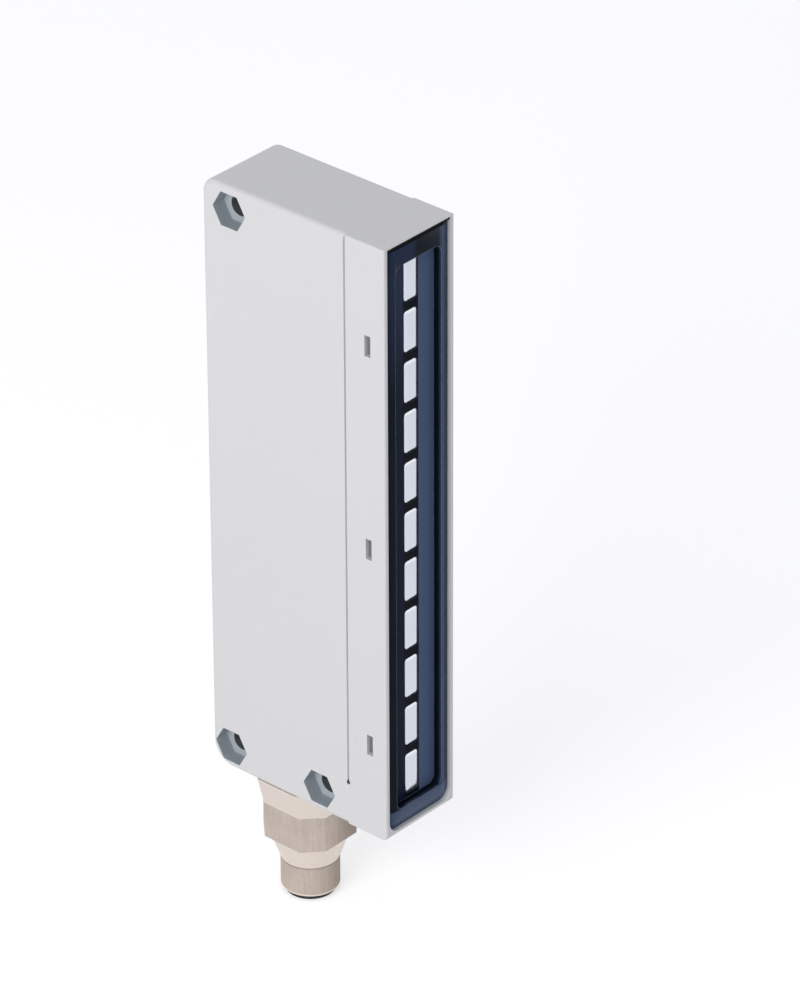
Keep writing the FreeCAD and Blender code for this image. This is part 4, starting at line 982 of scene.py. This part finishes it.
def add_crown(tree, place, point, full, crown):
    """Swell the front half of a block forwards, most in its middle."""
    double = calculate_vector(tree, "SCALE", point, scale=2.0)
    share = split(tree, calculate_vector(tree, "DIVIDE", double, full))
    across, up = (calculate(tree, "SUBTRACT", 1.0, calculate(tree, "POWER", share[axis], 2.0))
                  for axis in "XZ")
    front = calculate(tree, "LESS_THAN", share["Y"], 0.0)
    lift = product(tree, across, up, front, crown, -1.0)
    return calculate_vector(tree, "ADD", place, combine(tree, 0.0, lift, 0.0))


def row_upwards(tree, geometry, count, pitch, place):
    """Copies of a piece in a row up Z, with the row's middle at a place."""
    line = add_node(tree, "GeometryNodeMeshLine")
    drop = product(tree, calculate(tree, "SUBTRACT", count, 1.0), pitch, -0.5)
    start = calculate_vector(tree, "ADD", place, combine(tree, 0.0, 0.0, drop))
    feed(tree, line.inputs["Count"], count)
    feed(tree, line.inputs["Start Location"], start)
    feed(tree, line.inputs["Offset"], combine(tree, 0.0, 0.0, pitch))
    return copy_to_points(tree, line.outputs["Mesh"], geometry)


def lens_tree():
    """Rounded, crowned lens cells in a row, on one thin backing strip."""
    tree, given = new_tree("lens_column", {
        "Place": VECTOR, "Backing Place": VECTOR, "Cell Width": FLOAT, "Cell Depth": FLOAT,
        "Cell Height": FLOAT, "Rounding": FLOAT, "Crown": FLOAT, "Pitch": FLOAT,
        "Count": INTEGER, "Backing Width": FLOAT, "Backing Depth": FLOAT,
        "Backing Height": FLOAT, "Material": MATERIAL})
    cell = rounded_block(tree, given["Cell Width"], given["Cell Depth"], given["Cell Height"],
                         given["Rounding"], CELL_GRID, given["Crown"])
    cells = row_upwards(tree, cell, given["Count"], given["Pitch"], given["Place"])
    backing = rounded_block(tree, given["Backing Width"], given["Backing Depth"],
                            given["Backing Height"],
                            product(tree, given["Backing Depth"], BACKING_ROUNDING_SHARE),
                            BACKING_GRID)
    seated = pass_on(tree, "GeometryNodeTransform", backing, Translation=given["Backing Place"])
    both = add_node(tree, "GeometryNodeJoinGeometry")
    for geometry in (cells, seated):
        tree.links.new(geometry, both.inputs["Geometry"])
    end_tree(tree, both.outputs["Geometry"], given["Material"])
    return tree


def make_lenses():
    low, high = (Vector(corner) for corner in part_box("lens_strip"))
    middle = (low + high) / 2
    size = high - low
    deep = high.y - low.y - STRIP_THICK / 2
    piece = grow("lens_cells", lens_tree(), {
        "Place": (middle.x, low.y + CELL_CROWN + (deep - CELL_CROWN) / 2, middle.z),
        "Backing Place": (middle.x, high.y - STRIP_THICK / 2, middle.z),
        "Cell Width": CELL_WIDTH, "Cell Depth": deep - CELL_CROWN, "Cell Height": CELL_HEIGHT,
        "Rounding": CELL_ROUNDING, "Crown": CELL_CROWN, "Pitch": CELL_PITCH,
        "Count": CELL_COUNT, "Backing Width": size.x, "Backing Depth": STRIP_THICK,
        "Backing Height": size.z, "Material": FINISHES["lens"]})
    take_over(piece, "lens_strip")


def pin_tree():
    """Contact pins round a circle, each with a rounded tip at its lower end."""
    tree, given = new_tree("contact_ring", {
        "Place": VECTOR, "Circle": FLOAT, "Radius": FLOAT, "Length": FLOAT, "Tip": FLOAT,
        "Count": INTEGER, "Material": MATERIAL})
    rod = add_node(tree, "GeometryNodeMeshCylinder", fill_type="NGON")
    rod.inputs["Vertices"].default_value = PIN_SIDES
    rod.inputs["Side Segments"].default_value = PIN_RINGS
    feed(tree, rod.inputs["Radius"], given["Radius"])
    feed(tree, rod.inputs["Depth"], given["Length"])
    point = add_node(tree, "GeometryNodeInputPosition").outputs["Position"]
    foot = calculate(tree, "ADD", split(tree, point)["Z"], product(tree, given["Length"], 0.5))
    above = calculate(tree, "SUBTRACT", given["Tip"], foot)
    share = calculate(tree, "DIVIDE", above, given["Tip"], clamp=True)
    left = calculate(tree, "SUBTRACT", 1.0, calculate(tree, "POWER", share, 2.0), clamp=True)
    waist = calculate(tree, "MAXIMUM", calculate(tree, "SQRT", left), PIN_TIP_SHARE)
    place = calculate_vector(tree, "MULTIPLY", point, combine(tree, waist, waist, 1.0))
    pin = pass_on(tree, "GeometryNodeSetPosition", rod.outputs["Mesh"], Position=place)
    ring = add_node(tree, "GeometryNodeMeshCircle")
    feed(tree, ring.inputs["Vertices"], given["Count"])
    feed(tree, ring.inputs["Radius"], given["Circle"])
    circle = pass_on(tree, "GeometryNodeTransform", ring.outputs["Mesh"],
                     Translation=given["Place"], Rotation=(0.0, 0.0, PIN_TURN))
    end_tree(tree, copy_to_points(tree, circle, pin), given["Material"])
    return tree


def make_pins():
    low, high = (Vector(corner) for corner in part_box("contact_pins"))
    piece = grow("connector_pins", pin_tree(), {
        "Place": ((low + high) / 2)[:], "Circle": PIN_CIRCLE, "Radius": PIN_RADIUS,
        "Length": high.z - low.z, "Tip": PIN_TIP, "Count": PIN_COUNT,
        "Material": FINISHES["gold"]})
    take_over(piece, "contact_pins")


set_stage()
dress_nodes()
make_housing()
make_window()
make_gasket()
make_lenses()
make_connector()
make_insert()
make_pins()
